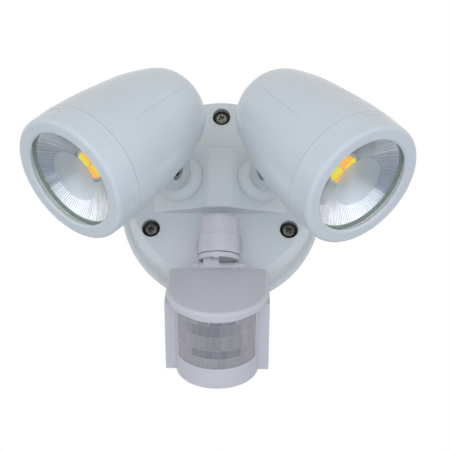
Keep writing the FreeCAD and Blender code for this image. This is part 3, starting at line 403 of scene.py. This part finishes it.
# ---- material helpers ----
def srgb(r, g, b):
    """A colour as it shows on screen, 0 to 255, to the linear values that shaders use."""
    channels = []
    for c in (r / 255.0, g / 255.0, b / 255.0):
        channels.append(c / 12.92 if c <= 0.04045 else ((c + 0.055) / 1.055) ** 2.4)
    return (*channels, 1.0)


def shade(colour, share):
    """The colour, made darker or lighter."""
    return (*(c * share for c in colour[:3]), 1.0)


class Material:
    """A node material with a Principled shader and short helpers for its textures."""

    def __init__(self, name):
        self.material = bpy.data.materials.new(name)
        self.material.use_nodes = True
        self.tree = self.material.node_tree
        self.shader = self.tree.nodes["Principled BSDF"]
        self.place = self.tree.nodes.new("ShaderNodeTexCoord").outputs["Object"]

    def set(self, **values):
        for key, value in values.items():
            self.shader.inputs[key.replace("_", " ")].default_value = value
        return self

    def link(self, output, socket):
        self.tree.links.new(output, self.shader.inputs[socket])

    def noise(self, per_metre, detail=2.0):
        """Noise with so many features to the metre, and finer ones as detail grows."""
        node = self.tree.nodes.new("ShaderNodeTexNoise")
        node.inputs["Scale"].default_value = per_metre
        node.inputs["Detail"].default_value = detail
        self.tree.links.new(self.place, node.inputs["Vector"])
        return node.outputs["Fac"]

    def span(self, value, low, high, from_low=0.3, from_high=0.7):
        """The value, stretched from one range to another."""
        node = self.tree.nodes.new("ShaderNodeMapRange")
        limits = {"From Min": from_low, "From Max": from_high, "To Min": low, "To Max": high}
        for key, number in limits.items():
            node.inputs[key].default_value = number
        self.tree.links.new(value, node.inputs["Value"])
        return node.outputs["Result"]

    def blend(self, value, first, second):
        """Colour between two others, each a colour or a socket, by a factor."""
        node = self.tree.nodes.new("ShaderNodeMix")
        node.data_type = "RGBA"
        self.tree.links.new(value, node.inputs[0])
        for socket, colour in ((node.inputs[6], first), (node.inputs[7], second)):
            if isinstance(colour, tuple):
                socket.default_value = colour
            else:
                self.tree.links.new(colour, socket)
        return node.outputs[2]

    def mottle(self, dark, light, per_metre, detail=3.0):
        """Colour that wanders between two others."""
        return self.blend(self.span(self.noise(per_metre, detail), 0.0, 1.0), dark, light)

    def roughen(self, low, high, per_metre, detail=2.0):
        """Roughness that wanders between two values."""
        self.link(self.span(self.noise(per_metre, detail), low, high), "Roughness")

    def bump(self, height, strength, distance):
        """Small unevenness of the surface, as deep as distance."""
        node = self.tree.nodes.new("ShaderNodeBump")
        node.inputs["Strength"].default_value = strength
        node.inputs["Distance"].default_value = distance
        self.tree.links.new(height, node.inputs["Height"])
        self.link(node.outputs["Normal"], "Normal")
        return self

    def cells(self, per_metre):
        """Cell texture with so many cells to the metre."""
        node = self.tree.nodes.new("ShaderNodeTexVoronoi")
        node.inputs["Scale"].default_value = per_metre
        self.tree.links.new(self.place, node.inputs["Vector"])
        return node

    def specks(self, per_metre, size, share):
        """1 on a few scattered specks, 0 elsewhere."""
        cells = self.cells(per_metre)
        near = self.compare(cells.outputs["Distance"], "LESS_THAN", size)
        chosen = self.compare(cells.outputs["Color"], "LESS_THAN", share)
        both = self.tree.nodes.new("ShaderNodeMath")
        both.operation = "MULTIPLY"
        self.tree.links.new(near, both.inputs[0])
        self.tree.links.new(chosen, both.inputs[1])
        return both.outputs[0]

    def tone(self):
        """The tone that set_tones gave the piece's points."""
        node = self.tree.nodes.new("ShaderNodeAttribute")
        node.attribute_name = "tone"
        return node.outputs["Fac"]

    def compare(self, value, operation, limit):
        node = self.tree.nodes.new("ShaderNodeMath")
        node.operation = operation
        node.inputs[1].default_value = limit
        self.tree.links.new(value, node.inputs[0])
        return node.outputs[0]


def moulded(name, colour, roughness, peel=0.10, speck_share=0.12, coat=0.0):
    """Painted metal or moulded plastic: faint mottling, orange peel and a few dust specks."""
    m = Material(name)
    skin = m.mottle(shade(colour, 0.975), shade(colour, 1.02), 28.0)
    dust = m.specks(per_metre=55.0, size=0.014, share=speck_share)
    m.link(m.blend(dust, skin, shade(colour, 0.42)), "Base Color")
    m.roughen(roughness - 0.05, roughness + 0.06, 160.0, 3.0)
    m.set(Coat_Weight=coat, Coat_Roughness=0.12)
    return m.bump(m.noise(1500.0), peel, 0.12 * MM).material


def metal(name, colour, roughness):
    """Bare metal with slightly worn, finely grained surface."""
    m = Material(name)
    m.set(Metallic=1.0)
    m.link(m.mottle(shade(colour, 0.82), colour, 420.0, 4.0), "Base Color")
    m.roughen(roughness - 0.06, roughness + 0.08, 700.0, 3.0)
    return m.bump(m.noise(2200.0, 3.0), 0.12, 0.06 * MM).material


def rubber(name):
    """Black rubber of the gaskets and rings."""
    m = Material(name)
    m.link(m.mottle((0.010, 0.011, 0.010, 1), (0.022, 0.024, 0.022, 1), 300.0), "Base Color")
    m.roughen(0.5, 0.68, 500.0)
    return m.bump(m.noise(1800.0), 0.25, 0.1 * MM).material


def clear_glass():
    """Thin pane: nearly all of it is see-through, and the rest is its sheen and a faint smear."""
    m = Material("clear_glass")
    m.link(m.mottle((0.86, 0.90, 0.88, 1), (0.92, 0.94, 0.93, 1), 60.0), "Base Color")
    m.roughen(0.02, 0.06, 90.0)
    m.set(Alpha=0.03, IOR=1.5, Specular_IOR_Level=0.5)
    return m.material


def glass_edge(name, colour):
    """Glossy, slightly cloudy surface for the pane's edge, its ground corners and the seal behind it."""
    m = Material(name)
    m.link(m.mottle(shade(colour, 0.92), shade(colour, 1.04), 240.0), "Base Color")
    m.roughen(0.15, 0.3, 420.0)
    return m.material


def frosted():
    """Film that blurs what lies behind it."""
    m = Material("frosted_film")
    m.link(m.mottle((0.86, 0.90, 0.90, 1), (0.93, 0.96, 0.96, 1), 1400.0), "Base Color")
    m.set(Transmission_Weight=0.86, Roughness=0.38, IOR=1.3)
    return m.bump(m.noise(2600.0), 0.25, 0.08 * MM).material


def mirror():
    """Bright plating whose base colour follows the tone kept at each point: painted reflection and painted shade.
    """
    m = Material("mirror_metal")
    m.set(Metallic=1.0)
    # painted reflection: dark blue-grey where the tone is low, near white where it is high
    m.link(m.blend(m.tone(), (0.33, 0.37, 0.43, 1), (0.95, 0.96, 0.98, 1)), "Base Color")
    m.roughen(0.04, 0.09, 500.0)
    return m.material


def phosphor(name, colour):
    """Silicone-filled phosphor with the faint dots of the chips under it, which glows faintly in its own colour as
    painted light.
    """
    m = Material(name)
    dots = m.span(m.cells(700.0).outputs["Distance"], 0.0, 1.0, 0.1, 0.6)
    m.link(m.blend(dots, shade(colour, 0.93), colour), "Base Color")
    m.set(Roughness=0.3, Coat_Weight=0.35, Coat_Roughness=0.1)
    # painted light: the phosphor glows in its own colour though the LEDs are not lit
    m.set(Emission_Color=colour, Emission_Strength=0.55)
    return m.bump(m.noise(900.0), 0.1, 0.1 * MM).material


def lens_plastic():
    """Milky moulded lens: segments differ a little in tone at random, lighter along grooves, with painted shade in
    each row's middle.
    """
    m = Material("lens_plastic")
    m.link(m.blend(m.tone(), srgb(116, 116, 123), srgb(184, 180, 178)), "Base Color")
    m.roughen(0.3, 0.42, 300.0)
    m.set(Subsurface_Weight=0.25, Subsurface_Radius=(3 * MM, 3 * MM, 3 * MM), Subsurface_Scale=0.5)
    return m.bump(m.noise(1200.0), 0.06, 0.1 * MM).material


def simple_plastic(name, colour, roughness):
    """Clean plastic of the small and inner pieces."""
    return moulded(name, colour, roughness, peel=0.2, speck_share=0.0)


def make_materials():
    return {
        "white_paint": moulded("white_paint", srgb(207, 213, 215), 0.33, coat=0.25),
        # painted light: a lighter copy of the white paint for the base and swivels, which lie in shade
        "lightened_white_paint": moulded("lightened_white_paint", srgb(214, 218, 218), 0.33, coat=0.25),
        "sensor_plastic": moulded("sensor_plastic", srgb(202, 200, 204), 0.4),
        "black_rubber": rubber("black_rubber"),
        "screw_steel": metal("screw_steel", srgb(130, 129, 122), 0.28),
        "dark_steel": metal("dark_steel", srgb(172, 167, 156), 0.25),
        "zinc_nut": metal("zinc_nut", srgb(178, 180, 182), 0.35),
        "nut_nylon": simple_plastic("nut_nylon", srgb(214, 212, 204), 0.5),
        "brass_screw": metal("brass_screw", srgb(196, 160, 92), 0.32),
        "driver_plastic": simple_plastic("driver_plastic", srgb(52, 54, 56), 0.55),
        "terminal_plastic": simple_plastic("terminal_plastic", srgb(206, 202, 190), 0.5),
        "clear_glass": clear_glass(),
        "glass_edge": glass_edge("glass_edge", srgb(156, 170, 158)),
        "ground_glass": glass_edge("ground_glass", srgb(236, 238, 234)),
        "seal_silicone": glass_edge("seal_silicone", srgb(150, 164, 152)),
        "frosted_film": frosted(),
        "mirror_metal": mirror(),
        "holder_plastic": simple_plastic("holder_plastic", srgb(218, 219, 217), 0.35),
        "chip_ceramic": simple_plastic("chip_ceramic", srgb(226, 224, 208), 0.35),
        "board_aluminium": metal("board_aluminium", srgb(210, 212, 212), 0.35),
        "bare_aluminium": metal("bare_aluminium", srgb(190, 193, 196), 0.4),
        "warm_phosphor": phosphor("warm_phosphor", srgb(255, 178, 40)),
        "cool_phosphor": phosphor("cool_phosphor", srgb(228, 214, 36)),
        "lens_plastic": lens_plastic(),
        "board_green": simple_plastic("board_green", srgb(34, 92, 58), 0.4),
        "can_metal": metal("can_metal", srgb(186, 186, 184), 0.3),
        "knob_plastic": simple_plastic("knob_plastic", srgb(64, 66, 70), 0.45),
    }


def dress_cad_nodes(materials):
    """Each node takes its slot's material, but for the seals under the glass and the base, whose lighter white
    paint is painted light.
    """
    slots = {}
    for part in frame["record"]["subparts"]:
        slots[part["node"]] = part["material_slot"]
    for name, node in frame["nodes"].items():
        node.data.materials.clear()
        look = slots[name]
        if name.endswith("_glass_gasket"):
            look = "seal_silicone"
        # painted light: the base's castings take the lighter copy of the white paint
        elif name in LIGHTENED_CASTINGS:
            look = "lightened_white_paint"
        node.data.materials.append(materials[look])


# ---- pieces of the heads ----
def reflector(side, axes, materials):
    """Bright cone of fine radial flutes, with its flange under the glass."""
    node = side + "_reflector"
    low, high, inner_r, outer_r = span(node, axes)
    rim_r = span(side + "_glass_gasket", axes)[2] - REFLECTOR_RIM_GAP
    cone = reflector_cone((rim_r, high[2]), (inner_r, low[2] + REFLECTOR_WALL))
    back = [(r + REFLECTOR_WALL, z - REFLECTOR_WALL) for r, z in reversed(cone)]
    flange = [(outer_r, high[2] - REFLECTOR_WALL), (outer_r, high[2])]
    profile = [*cone, *back, *flange, cone[0]]

    def ripple(i, angles):
        if i == 0 or i >= len(cone):
            return np.zeros_like(angles)
        pitch = 2 * math.pi * profile[i][0] / FLUTES
        return -FLUTE_DEPTH * pitch * np.abs(np.sin(angles * FLUTES / 2))

    points, faces = lathe(profile, FLUTES * FLUTE_STEPS, ripple)
    piece = mesh_piece(side + "_fluted_reflector", axes.to_row(points), faces,
                       [materials["mirror_metal"]], side + "_head",
                       sharp_deg=REFLECTOR_SMOOTH_DEG)
    # the plating's tones are painted reflection round the cone and painted shade in the valleys
    set_tones(piece, painted_reflection_tones(piece, axes))
    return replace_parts(piece, node)


def reflector_cone(rim, end):
    """Points (r, z) from the cone's rim to its inner end, bowed outwards and backwards."""
    rows = []
    for i in range(REFLECTOR_ROWS + 1):
        t = i / REFLECTOR_ROWS
        bow = REFLECTOR_BOW * math.sin(math.pi * t)
        rows.append((rim[0] + (end[0] - rim[0]) * t + bow, rim[1] + (end[1] - rim[1]) * t - bow))
    return rows


def painted_reflection_tones(piece, axes):
    """Tone of each point of a reflector: its sector's painted reflection, streaked flute by flute, with a painted
    shade line in each valley.
    """
    co = np.zeros(len(piece.data.vertices) * 3)
    piece.data.vertices.foreach_get("co", co)
    local = axes.to_local(co.reshape(-1, 3))
    below = -1.0 if axes.matrix[1][2] > 0 else 1.0
    turn = np.arctan2(local[:, 1], local[:, 0]) % (2 * math.pi)
    flute = turn * FLUTES / (2 * math.pi)
    own, nearest = np.floor(flute).astype(int) % FLUTES, np.round(flute).astype(int) % FLUTES
    random = np.random.default_rng(RANDOM_SEED)
    shift = random.uniform(-SECTOR_STREAK_DEG, SECTOR_STREAK_DEG, FLUTES)[own]
    streak = random.uniform(-FLUTE_REFLECTION_STREAK, FLUTE_REFLECTION_STREAK, FLUTES)[own]
    line = random.uniform(*VALLEY_PAINTED_SHADE, FLUTES)[nearest]
    # painted reflection: brightness by sector round the cone
    sector = np.degrees(np.arctan2(local[:, 1] * below, -local[:, 0])) + shift
    stops = np.array(PAINTED_REFLECTION_TONES)
    tone = np.interp(sector, stops[:, 0], stops[:, 1])
    # painted shade: a dark line along each valley
    valley = np.clip(1.0 - np.abs(flute - np.round(flute)) / VALLEY_SHADE_WIDTH, 0.0, 1.0)
    return np.clip(tone + streak - line * valley, 0.0, 1.0)


def glass_pane(side, axes, materials):
    """Front glass with ground corners; the part of its back that meets the gasket shows as its edge."""
    node = side + "_front_glass"
    low, high, _, r = span(node, axes)
    c = GLASS_CORNER
    back, front = low[2] + GLASS_LIFT, high[2]
    ground_r = span(side + "_glass_gasket", axes)[2] - GROUND_OVERLAP
    profile = [(0, back), (r / 2, back), (ground_r, back), (r - c, back), (r, back + c),
               (r, front - c), (r - c, front), (r / 2, front), (0, front)]
    face_looks = [band for band in PANE_BANDS for _ in range(GLASS_SEGMENTS)]
    looks = [materials[name] for name in ("clear_glass", "glass_edge", "ground_glass")]
    piece = turned_piece(side + "_glass_pane", side, axes, profile, GLASS_SEGMENTS, looks,
                         face_looks)
    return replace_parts(piece, node)


def frosted_disc(side, axes, materials):
    """Frosted disc with rounded edges in the middle of the glass."""
    node = side + "_diffuser"
    low, high, _, r = span(node, axes)
    edge = (high[2] - low[2]) * FROST_EDGE
    profile = [(0, low[2]), (r - edge, low[2]), (r, low[2] + edge), (r, high[2] - edge / 2),
               (r - edge, high[2]), (0, high[2])]
    piece = turned_piece(side + "_frosted_disc", side, axes, profile, TURNED_SEGMENTS,
                         [materials["frosted_film"]])
    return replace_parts(piece, node)


def led_window(side, axes, materials):
    """Holder ring with a stepped, rounded inner lip."""
    node = side + "_led_holder"
    low, high, inner, outer = span(node, axes)
    z0, z1 = low[2], high[2]
    half = (z0 + z1) / 2
    lip = inner + HOLDER_LIP
    rounding = arc(inner + HOLDER_ROUND, half, HOLDER_ROUND, 180, 90, 4)
    profile = [(inner, z0), (inner, half), *rounding, (lip, half + HOLDER_ROUND),
               (lip + HOLDER_STEP, z1 - HOLDER_STEP_DROP), (lip + HOLDER_STEP * 2, z1),
               (outer - HOLDER_EDGE, z1), (outer, z1 - HOLDER_EDGE), (outer, z0), (inner, z0)]
    piece = turned_piece(side + "_holder_ring", side, axes, profile, TURNED_SEGMENTS,
                         [materials["holder_plastic"]])
    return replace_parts(piece, node)


def chip_base(side, axes, materials):
    """White ceramic substrate with a low dam round the chips."""
    local = axes.to_local(node_points(side + "_cool_leds"))
    low, r = local[:, 2].min(), np.hypot(local[:, 0], local[:, 1]).max()
    face, crest = low + SUBSTRATE_T + SUBSTRATE_RISE, r + DAM_OFFSET
    dam_in, dam_out = crest - DAM_R, crest + DAM_R
    dam = arc(crest, face + DAM_SIDE, DAM_R, 0, 180, 6)
    profile = [(0, low), (dam_out, low), (dam_out, face), *dam, (dam_in, face), (0, face)]
    return turned_piece(side + "_chip_base", side, axes, profile, TURNED_SEGMENTS,
                        [materials["chip_ceramic"]])


def chip_quarters(side, axes, tone, materials):
    """Two opposite quarters of the light-emitting disc, each a low pillow with its own edge."""
    node = side + "_" + tone + "_leds"
    local = axes.to_local(node_points(node))
    radii = np.hypot(local[:, 0], local[:, 1])
    base, r = local[:, 2].min() + SUBSTRATE_T, radii.max()
    rim = local[radii > r * CHIP_RIM]
    middle = quarters_middle(np.arctan2(rim[:, 1], rim[:, 0]))
    points, faces = [], []
    for centre in (middle, middle + math.pi):
        start = len(points)
        for i in range(CHIP_RINGS + 1):
            for j in range(CHIP_STEPS + 1):
                points.append(pillow_point(i / CHIP_RINGS, j / CHIP_STEPS, centre, r, base))
        faces += grid_faces(CHIP_RINGS + 1, CHIP_STEPS + 1, False, start)
    look = tone + "_phosphor"
    piece = mesh_piece(side + "_" + tone + "_chips", axes.to_row(np.array(points)), faces,
                       [materials[look]], side + "_head")
    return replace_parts(piece, node)


def quarters_middle(turns):
    """Middle direction of points that lie in two opposite quarters."""
    return math.atan2(np.sin(turns * 2).mean(), np.cos(turns * 2).mean()) / 2


def pillow_point(s, t, centre, r, base):
    """A point of a quarter: s from the disc's middle to its rim, t across the quarter."""
    turn = centre + (t - 0.5) * math.pi / 2
    reach = (CHIP_TIP_R + (r - CHIP_TIP_R) * s) * (1.0 - CHIP_INSET / r)
    shift = CHIP_GAP * math.sqrt(2)
    x = reach * math.cos(turn) + shift * math.cos(centre)
    y = reach * math.sin(turn) + shift * math.sin(centre)
    edge = min(1.0, min(s, 1 - s, t, 1 - t) / CHIP_ROUND)
    lift = math.sqrt(1.0 - (1.0 - edge) ** 2)
    height = CHIP_HEIGHT * (CHIP_SIDE + (1 - CHIP_SIDE) * lift) if edge > 0 else 0.0
    return (x, y, base + height)


# ---- screws and bolts ----
def cross_outline(r):
    """Outline of a cross recess for a screw head of radius r."""
    w, reach, corner = r * CROSS_ARM, r * CROSS_REACH, r * CROSS_ARM * CROSS_CORNER
    outline = []
    for quarter in range(4):
        turn = quarter * math.pi / 2
        c, s = math.cos(turn), math.sin(turn)
        for x, y in ((reach, -w), (reach, w), (corner, corner)):
            outline.append((x * c - y * s, x * s + y * c))
    return outline


def shank_end(r, z, tip):
    """Profile points of a shank's bevelled end at height z."""
    return [(0, z), (r * tip[0], z), (r, z + r * tip[1])]


def pan_screw_mesh(length):
    """Pan head with a tapered cross recess, on a plain shank; z = 0 under the head."""
    r, height, shank_r = SCREW_HEAD_R, SCREW_HEAD_T, SCREW_SHANK_R
    head = [(r * x, height * z) for x, z in PAN_OUTLINE]
    points, faces = lathe([*shank_end(shank_r, -length, SCREW_TIP), (shank_r, 0), *head], SCREW_SEGMENTS)
    cutter = prism_mesh(cross_outline(r), height * CROSS_FLOOR, height * CROSS_TOP, taper=CROSS_TAPER)
    return carved(points, faces, cutter)


def cover_screws(materials):
    """The three pan screws of the front cover, each turned to its own angle."""
    node = "cover_screws"
    low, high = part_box(node)
    under_head = low[1] + SCREW_HEAD_T
    shape, faces = pan_screw_mesh(high[1] - under_head - SCREW_END_GAP)
    points, all_faces = [], []
    for index, (x, z) in enumerate(screw_spots(node)):
        turn = math.radians(SCREW_TURN_DEG + SCREW_TURN_STEP_DEG * index)
        c, s = math.cos(turn), math.sin(turn)
        axes = Axes((x, under_head, z), (c, 0, s), (-s, 0, c), (0, -1, 0))
        all_faces += [tuple(i + len(points) * len(shape) for i in f) for f in faces]
        points.append(axes.to_row(shape))
    piece = mesh_piece("cover_pan_screws", np.concatenate(points), all_faces, [materials["screw_steel"]],
                       "root")
    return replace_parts(piece, node)


def screw_spots(node):
    """Centres (x, z) of the three screws: one above the base's middle and two below it."""
    p = node_points(node)
    above, left = p[:, 2] > 0, p[:, 0] < 0
    spots = []
    for picked in (above, ~above & left, ~above & ~left):
        group = p[picked]
        middle = (group.min(0) + group.max(0)) / 2
        spots.append((middle[0], middle[2]))
    return spots


def socket_bolt(side, materials):
    """Socket-head bolt with a hexagon hole and a rounded, knurled head."""
    node = side + "_tilt_bolt"
    axes = bolt_axes(side)
    low, _, _, r = span(node, axes)
    rounding = arc(r - BOLT_ROUND, -BOLT_ROUND, BOLT_ROUND, 20, 80, 3)
    profile = [*shank_end(BOLT_SHANK_R, low[2], BOLT_TIP), (BOLT_SHANK_R, -BOLT_HEAD_T),
               (r - BOLT_CHAMFER, -BOLT_HEAD_T), (r, -BOLT_HEAD_T + BOLT_CHAMFER), (r, -BOLT_ROUND),
               *rounding, (r * BOLT_FACE, 0), (0, 0)]

    def knurl(i, angles):
        depth = KNURL_DEPTH if i in KNURLED_ROWS else 0.0
        return -depth * (np.cos(angles * KNURLS) > 0)

    points, faces = lathe(profile, TURNED_SEGMENTS, knurl)
    corners = [k * math.pi / 3 for k in range(6)]
    hexagon = [(r * HEX_SHARE * math.cos(turn), r * HEX_SHARE * math.sin(turn)) for turn in corners]
    points, faces = carved(points, faces, prism_mesh(hexagon, -HEX_DEPTH, CUT_CLEAR, taper=HEX_TAPER))
    piece = mesh_piece(side + "_socket_bolt", axes.to_row(points), faces, [materials["dark_steel"]],
                       side + "_head")
    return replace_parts(piece, node)


# ---- sensor lens ----
def lens_cells():
    """For each row of segments: its height limits, number of columns, stagger, painted shade of its middle and a
    tone for each segment.
    """
    random = np.random.default_rng(RANDOM_SEED)
    rows = []
    for index, count in enumerate(LENS_COLUMNS):
        top, bottom = LENS_ROWS[index] * MM, LENS_ROWS[index + 1] * MM
        tones = random.uniform(-LENS_TONE_SPREAD, LENS_TONE_SPREAD, count + 2)
        rows.append((top, bottom, count, LENS_STAGGER[index], LENS_PAINTED_SHADE[index], tones))
    return rows


def lens_surface(share, z, rows):
    """How far a point of the lens stands out, and its tone; share is its place across, 0 to 1."""
    row = next((row for row in rows if z >= row[1]), rows[-1])
    top, bottom, count, stagger, dark, tones = row
    height = top - bottom
    s = share * count + stagger
    cell = int(math.floor(s))
    across, along = s - cell, min(1.0, max(0.0, (top - z) / height))
    to_rim = min(min(across, 1 - across) * LENS_CELL_WIDTH, min(along, 1 - along)) * height
    groove = min(1.0, to_rim / LENS_GROOVE)
    bulge = 4 * across * (1 - across) * 4 * along * (1 - along)
    middle = (cell + 0.5 - stagger) / count * 2 - 1
    # painted shade across the middle of the row
    darker = dark * max(0.0, 1 - (middle / LENS_PAINTED_SHADE_REACH) ** 2)
    tone = LENS_TONE - darker + tones[cell % len(tones)] + LENS_GROOVE_TONE * (1 - groove)
    return LENS_BULGE * (LENS_STEP * groove + (1 - LENS_STEP) * bulge), tone


def fresnel_lens(materials):
    """Curved lens with rows of low square segments, closed round its edge."""
    node = "sensor_lens"
    axes, radius = sensor_axes()
    local = axes.to_local(node_points(node))
    outer = local[np.hypot(local[:, 0], local[:, 1]) > radius - LENS_SKIN]
    widest = outer[np.argmax(np.abs(outer[:, 0]))]
    half = math.atan2(abs(widest[0]), widest[1])
    z_top, z_low = outer[:, 2].max(), outer[:, 2].min()
    rows = lens_cells()
    points, tones = [], []
    for i in range(LENS_FINE_ROWS + 1):
        z = z_top + (z_low - z_top) * i / LENS_FINE_ROWS
        for j in range(LENS_FINE_COLUMNS + 1):
            share = j / LENS_FINE_COLUMNS
            out, tone = lens_surface(share, z, rows)
            turn = (share * 2 - 1) * half
            r = radius - LENS_BULGE + out
            points.append((r * math.sin(turn), r * math.cos(turn), z))
            tones.append(tone)
    front = len(points)
    faces = grid_faces(LENS_FINE_ROWS + 1, LENS_FINE_COLUMNS + 1, False)
    inwards = (radius - LENS_WALL) / radius
    back = [(x * inwards, y * inwards, z) for x, y, z in points]
    faces += [tuple(i + front for i in reversed(f)) for f in faces]
    faces += rim_faces(LENS_FINE_ROWS + 1, LENS_FINE_COLUMNS + 1, front)
    piece = mesh_piece("segmented_lens", axes.to_row(np.array(points + back)), faces,
                       [materials["lens_plastic"]], "sensor_head",
                       sharp_deg=LENS_SMOOTH_DEG)
    set_tones(piece, tones + tones)
    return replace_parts(piece, node)


def rim_faces(rows, columns, offset):
    """Quads that join the border of a grid to the border of its copy, offset points later."""
    border = list(range(columns))
    border += [i * columns + columns - 1 for i in range(1, rows)]
    border += [(rows - 1) * columns + j for j in range(columns - 2, -1, -1)]
    border += [i * columns for i in range(rows - 2, 0, -1)]
    return [(a, b, b + offset, a + offset) for a, b in zip(border, border[1:] + border[:1])]


# ---- stage ----
def make_floor():
    """Plain pale floor well below the light, which hangs on a wall."""
    z, h = CAD_LOW[2] - FLOOR_DROP, FLOOR_HALF
    mesh = bpy.data.meshes.new("floor")
    mesh.from_pydata([(-h, -h, z), (h, -h, z), (h, h, z), (-h, h, z)], [], [(0, 1, 2, 3)])
    m = Material("floor_paper")
    m.link(m.mottle(shade(FLOOR_COLOUR, 0.99), FLOOR_COLOUR, 3.0, 2.0), "Base Color")
    m.set(Roughness=0.8)
    mesh.materials.append(m.material)
    floor = bpy.data.objects.new("floor", mesh)
    bpy.context.scene.collection.objects.link(floor)


def make_world():
    """White behind the object, and a plain soft light on it, a little warmer and dimmer from behind."""
    world = bpy.data.worlds.new("studio")
    bpy.context.scene.world = world
    world.use_nodes = True
    nodes, links = world.node_tree.nodes, world.node_tree.links
    nodes.clear()
    output = nodes.new("ShaderNodeOutputWorld")
    mix = nodes.new("ShaderNodeMixShader")
    white, light = nodes.new("ShaderNodeBackground"), nodes.new("ShaderNodeBackground")
    white.inputs["Color"].default_value = (1, 1, 1, 1)
    light.inputs["Strength"].default_value = WORLD_STRENGTH
    direction = nodes.new("ShaderNodeTexCoord").outputs["Generated"]
    facing = nodes.new("ShaderNodeVectorMath")
    facing.operation = "DOT_PRODUCT"
    facing.inputs[1].default_value = LIGHT_FROM
    ramp = nodes.new("ShaderNodeMapRange")
    ramp.inputs["From Min"].default_value = -LIGHT_SPREAD
    ramp.inputs["From Max"].default_value = LIGHT_SPREAD
    colour = nodes.new("ShaderNodeMix")
    colour.data_type = "RGBA"
    colour.inputs[6].default_value = WORLD_BACK
    colour.inputs[7].default_value = WORLD_FRONT
    links.new(direction, facing.inputs[0])
    links.new(facing.outputs["Value"], ramp.inputs["Value"])
    links.new(ramp.outputs["Result"], colour.inputs[0])
    links.new(colour.outputs[2], light.inputs["Color"])
    rays = nodes.new("ShaderNodeLightPath")
    first, second = nodes.new("ShaderNodeMath"), nodes.new("ShaderNodeMath")
    for node in (first, second):
        node.operation = "MAXIMUM"
    links.new(rays.outputs["Is Camera Ray"], first.inputs[0])
    links.new(rays.outputs["Is Transmission Ray"], first.inputs[1])
    links.new(first.outputs[0], second.inputs[0])
    links.new(rays.outputs["Is Glossy Ray"], second.inputs[1])
    links.new(second.outputs[0], mix.inputs[0])
    links.new(light.outputs[0], mix.inputs[1])
    links.new(white.outputs[0], mix.inputs[2])
    links.new(mix.outputs[0], output.inputs["Surface"])


def make_lamp(name, at, watts, seen_in_reflections):
    """Square soft lamp that faces the object and that the camera doesn't see."""
    data = bpy.data.lights.new(name, "AREA")
    data.shape, data.size = "SQUARE", KEY_SIZE
    data.energy, data.color = watts, KEY_COLOUR
    lamp = bpy.data.objects.new(name, data)
    lamp.location = at
    lamp.rotation_mode = "QUATERNION"
    lamp.rotation_quaternion = (-at).to_track_quat("-Z", "Y")
    lamp.visible_camera = False
    lamp.visible_glossy = seen_in_reflections
    bpy.context.scene.collection.objects.link(lamp)


def make_camera():
    """The camera of the photograph."""
    data = bpy.data.cameras.new("camera")
    data.sensor_width = SENSOR_WIDTH_MM
    data.lens = SENSOR_WIDTH_MM * FOCAL_PIXELS / FRAME_PIXELS
    camera = bpy.data.objects.new("camera", data)
    back = CAMERA_RIGHT.cross(CAMERA_UP)
    camera.matrix_world = Matrix((
        (CAMERA_RIGHT.x, CAMERA_UP.x, back.x, CAMERA_AT.x),
        (CAMERA_RIGHT.y, CAMERA_UP.y, back.y, CAMERA_AT.y),
        (CAMERA_RIGHT.z, CAMERA_UP.z, back.z, CAMERA_AT.z),
        (0, 0, 0, 1)))
    bpy.context.scene.collection.objects.link(camera)
    bpy.context.scene.camera = camera


def main():
    materials = make_materials()
    dress_cad_nodes(materials)
    for side in SIDES:
        axes = head_axes(side)
        reflector(side, axes, materials)
        glass_pane(side, axes, materials)
        frosted_disc(side, axes, materials)
        led_window(side, axes, materials)
        chip_base(side, axes, materials)
        for tone in ("warm", "cool"):
            chip_quarters(side, axes, tone, materials)
        socket_bolt(side, materials)
    cover_screws(materials)
    fresnel_lens(materials)
    make_floor()
    make_world()
    for name, (place, watts, seen) in KEYS.items():
        make_lamp(name, place, watts, seen)
    make_camera()
    bpy.context.scene.view_settings.view_transform = "Standard"


main()
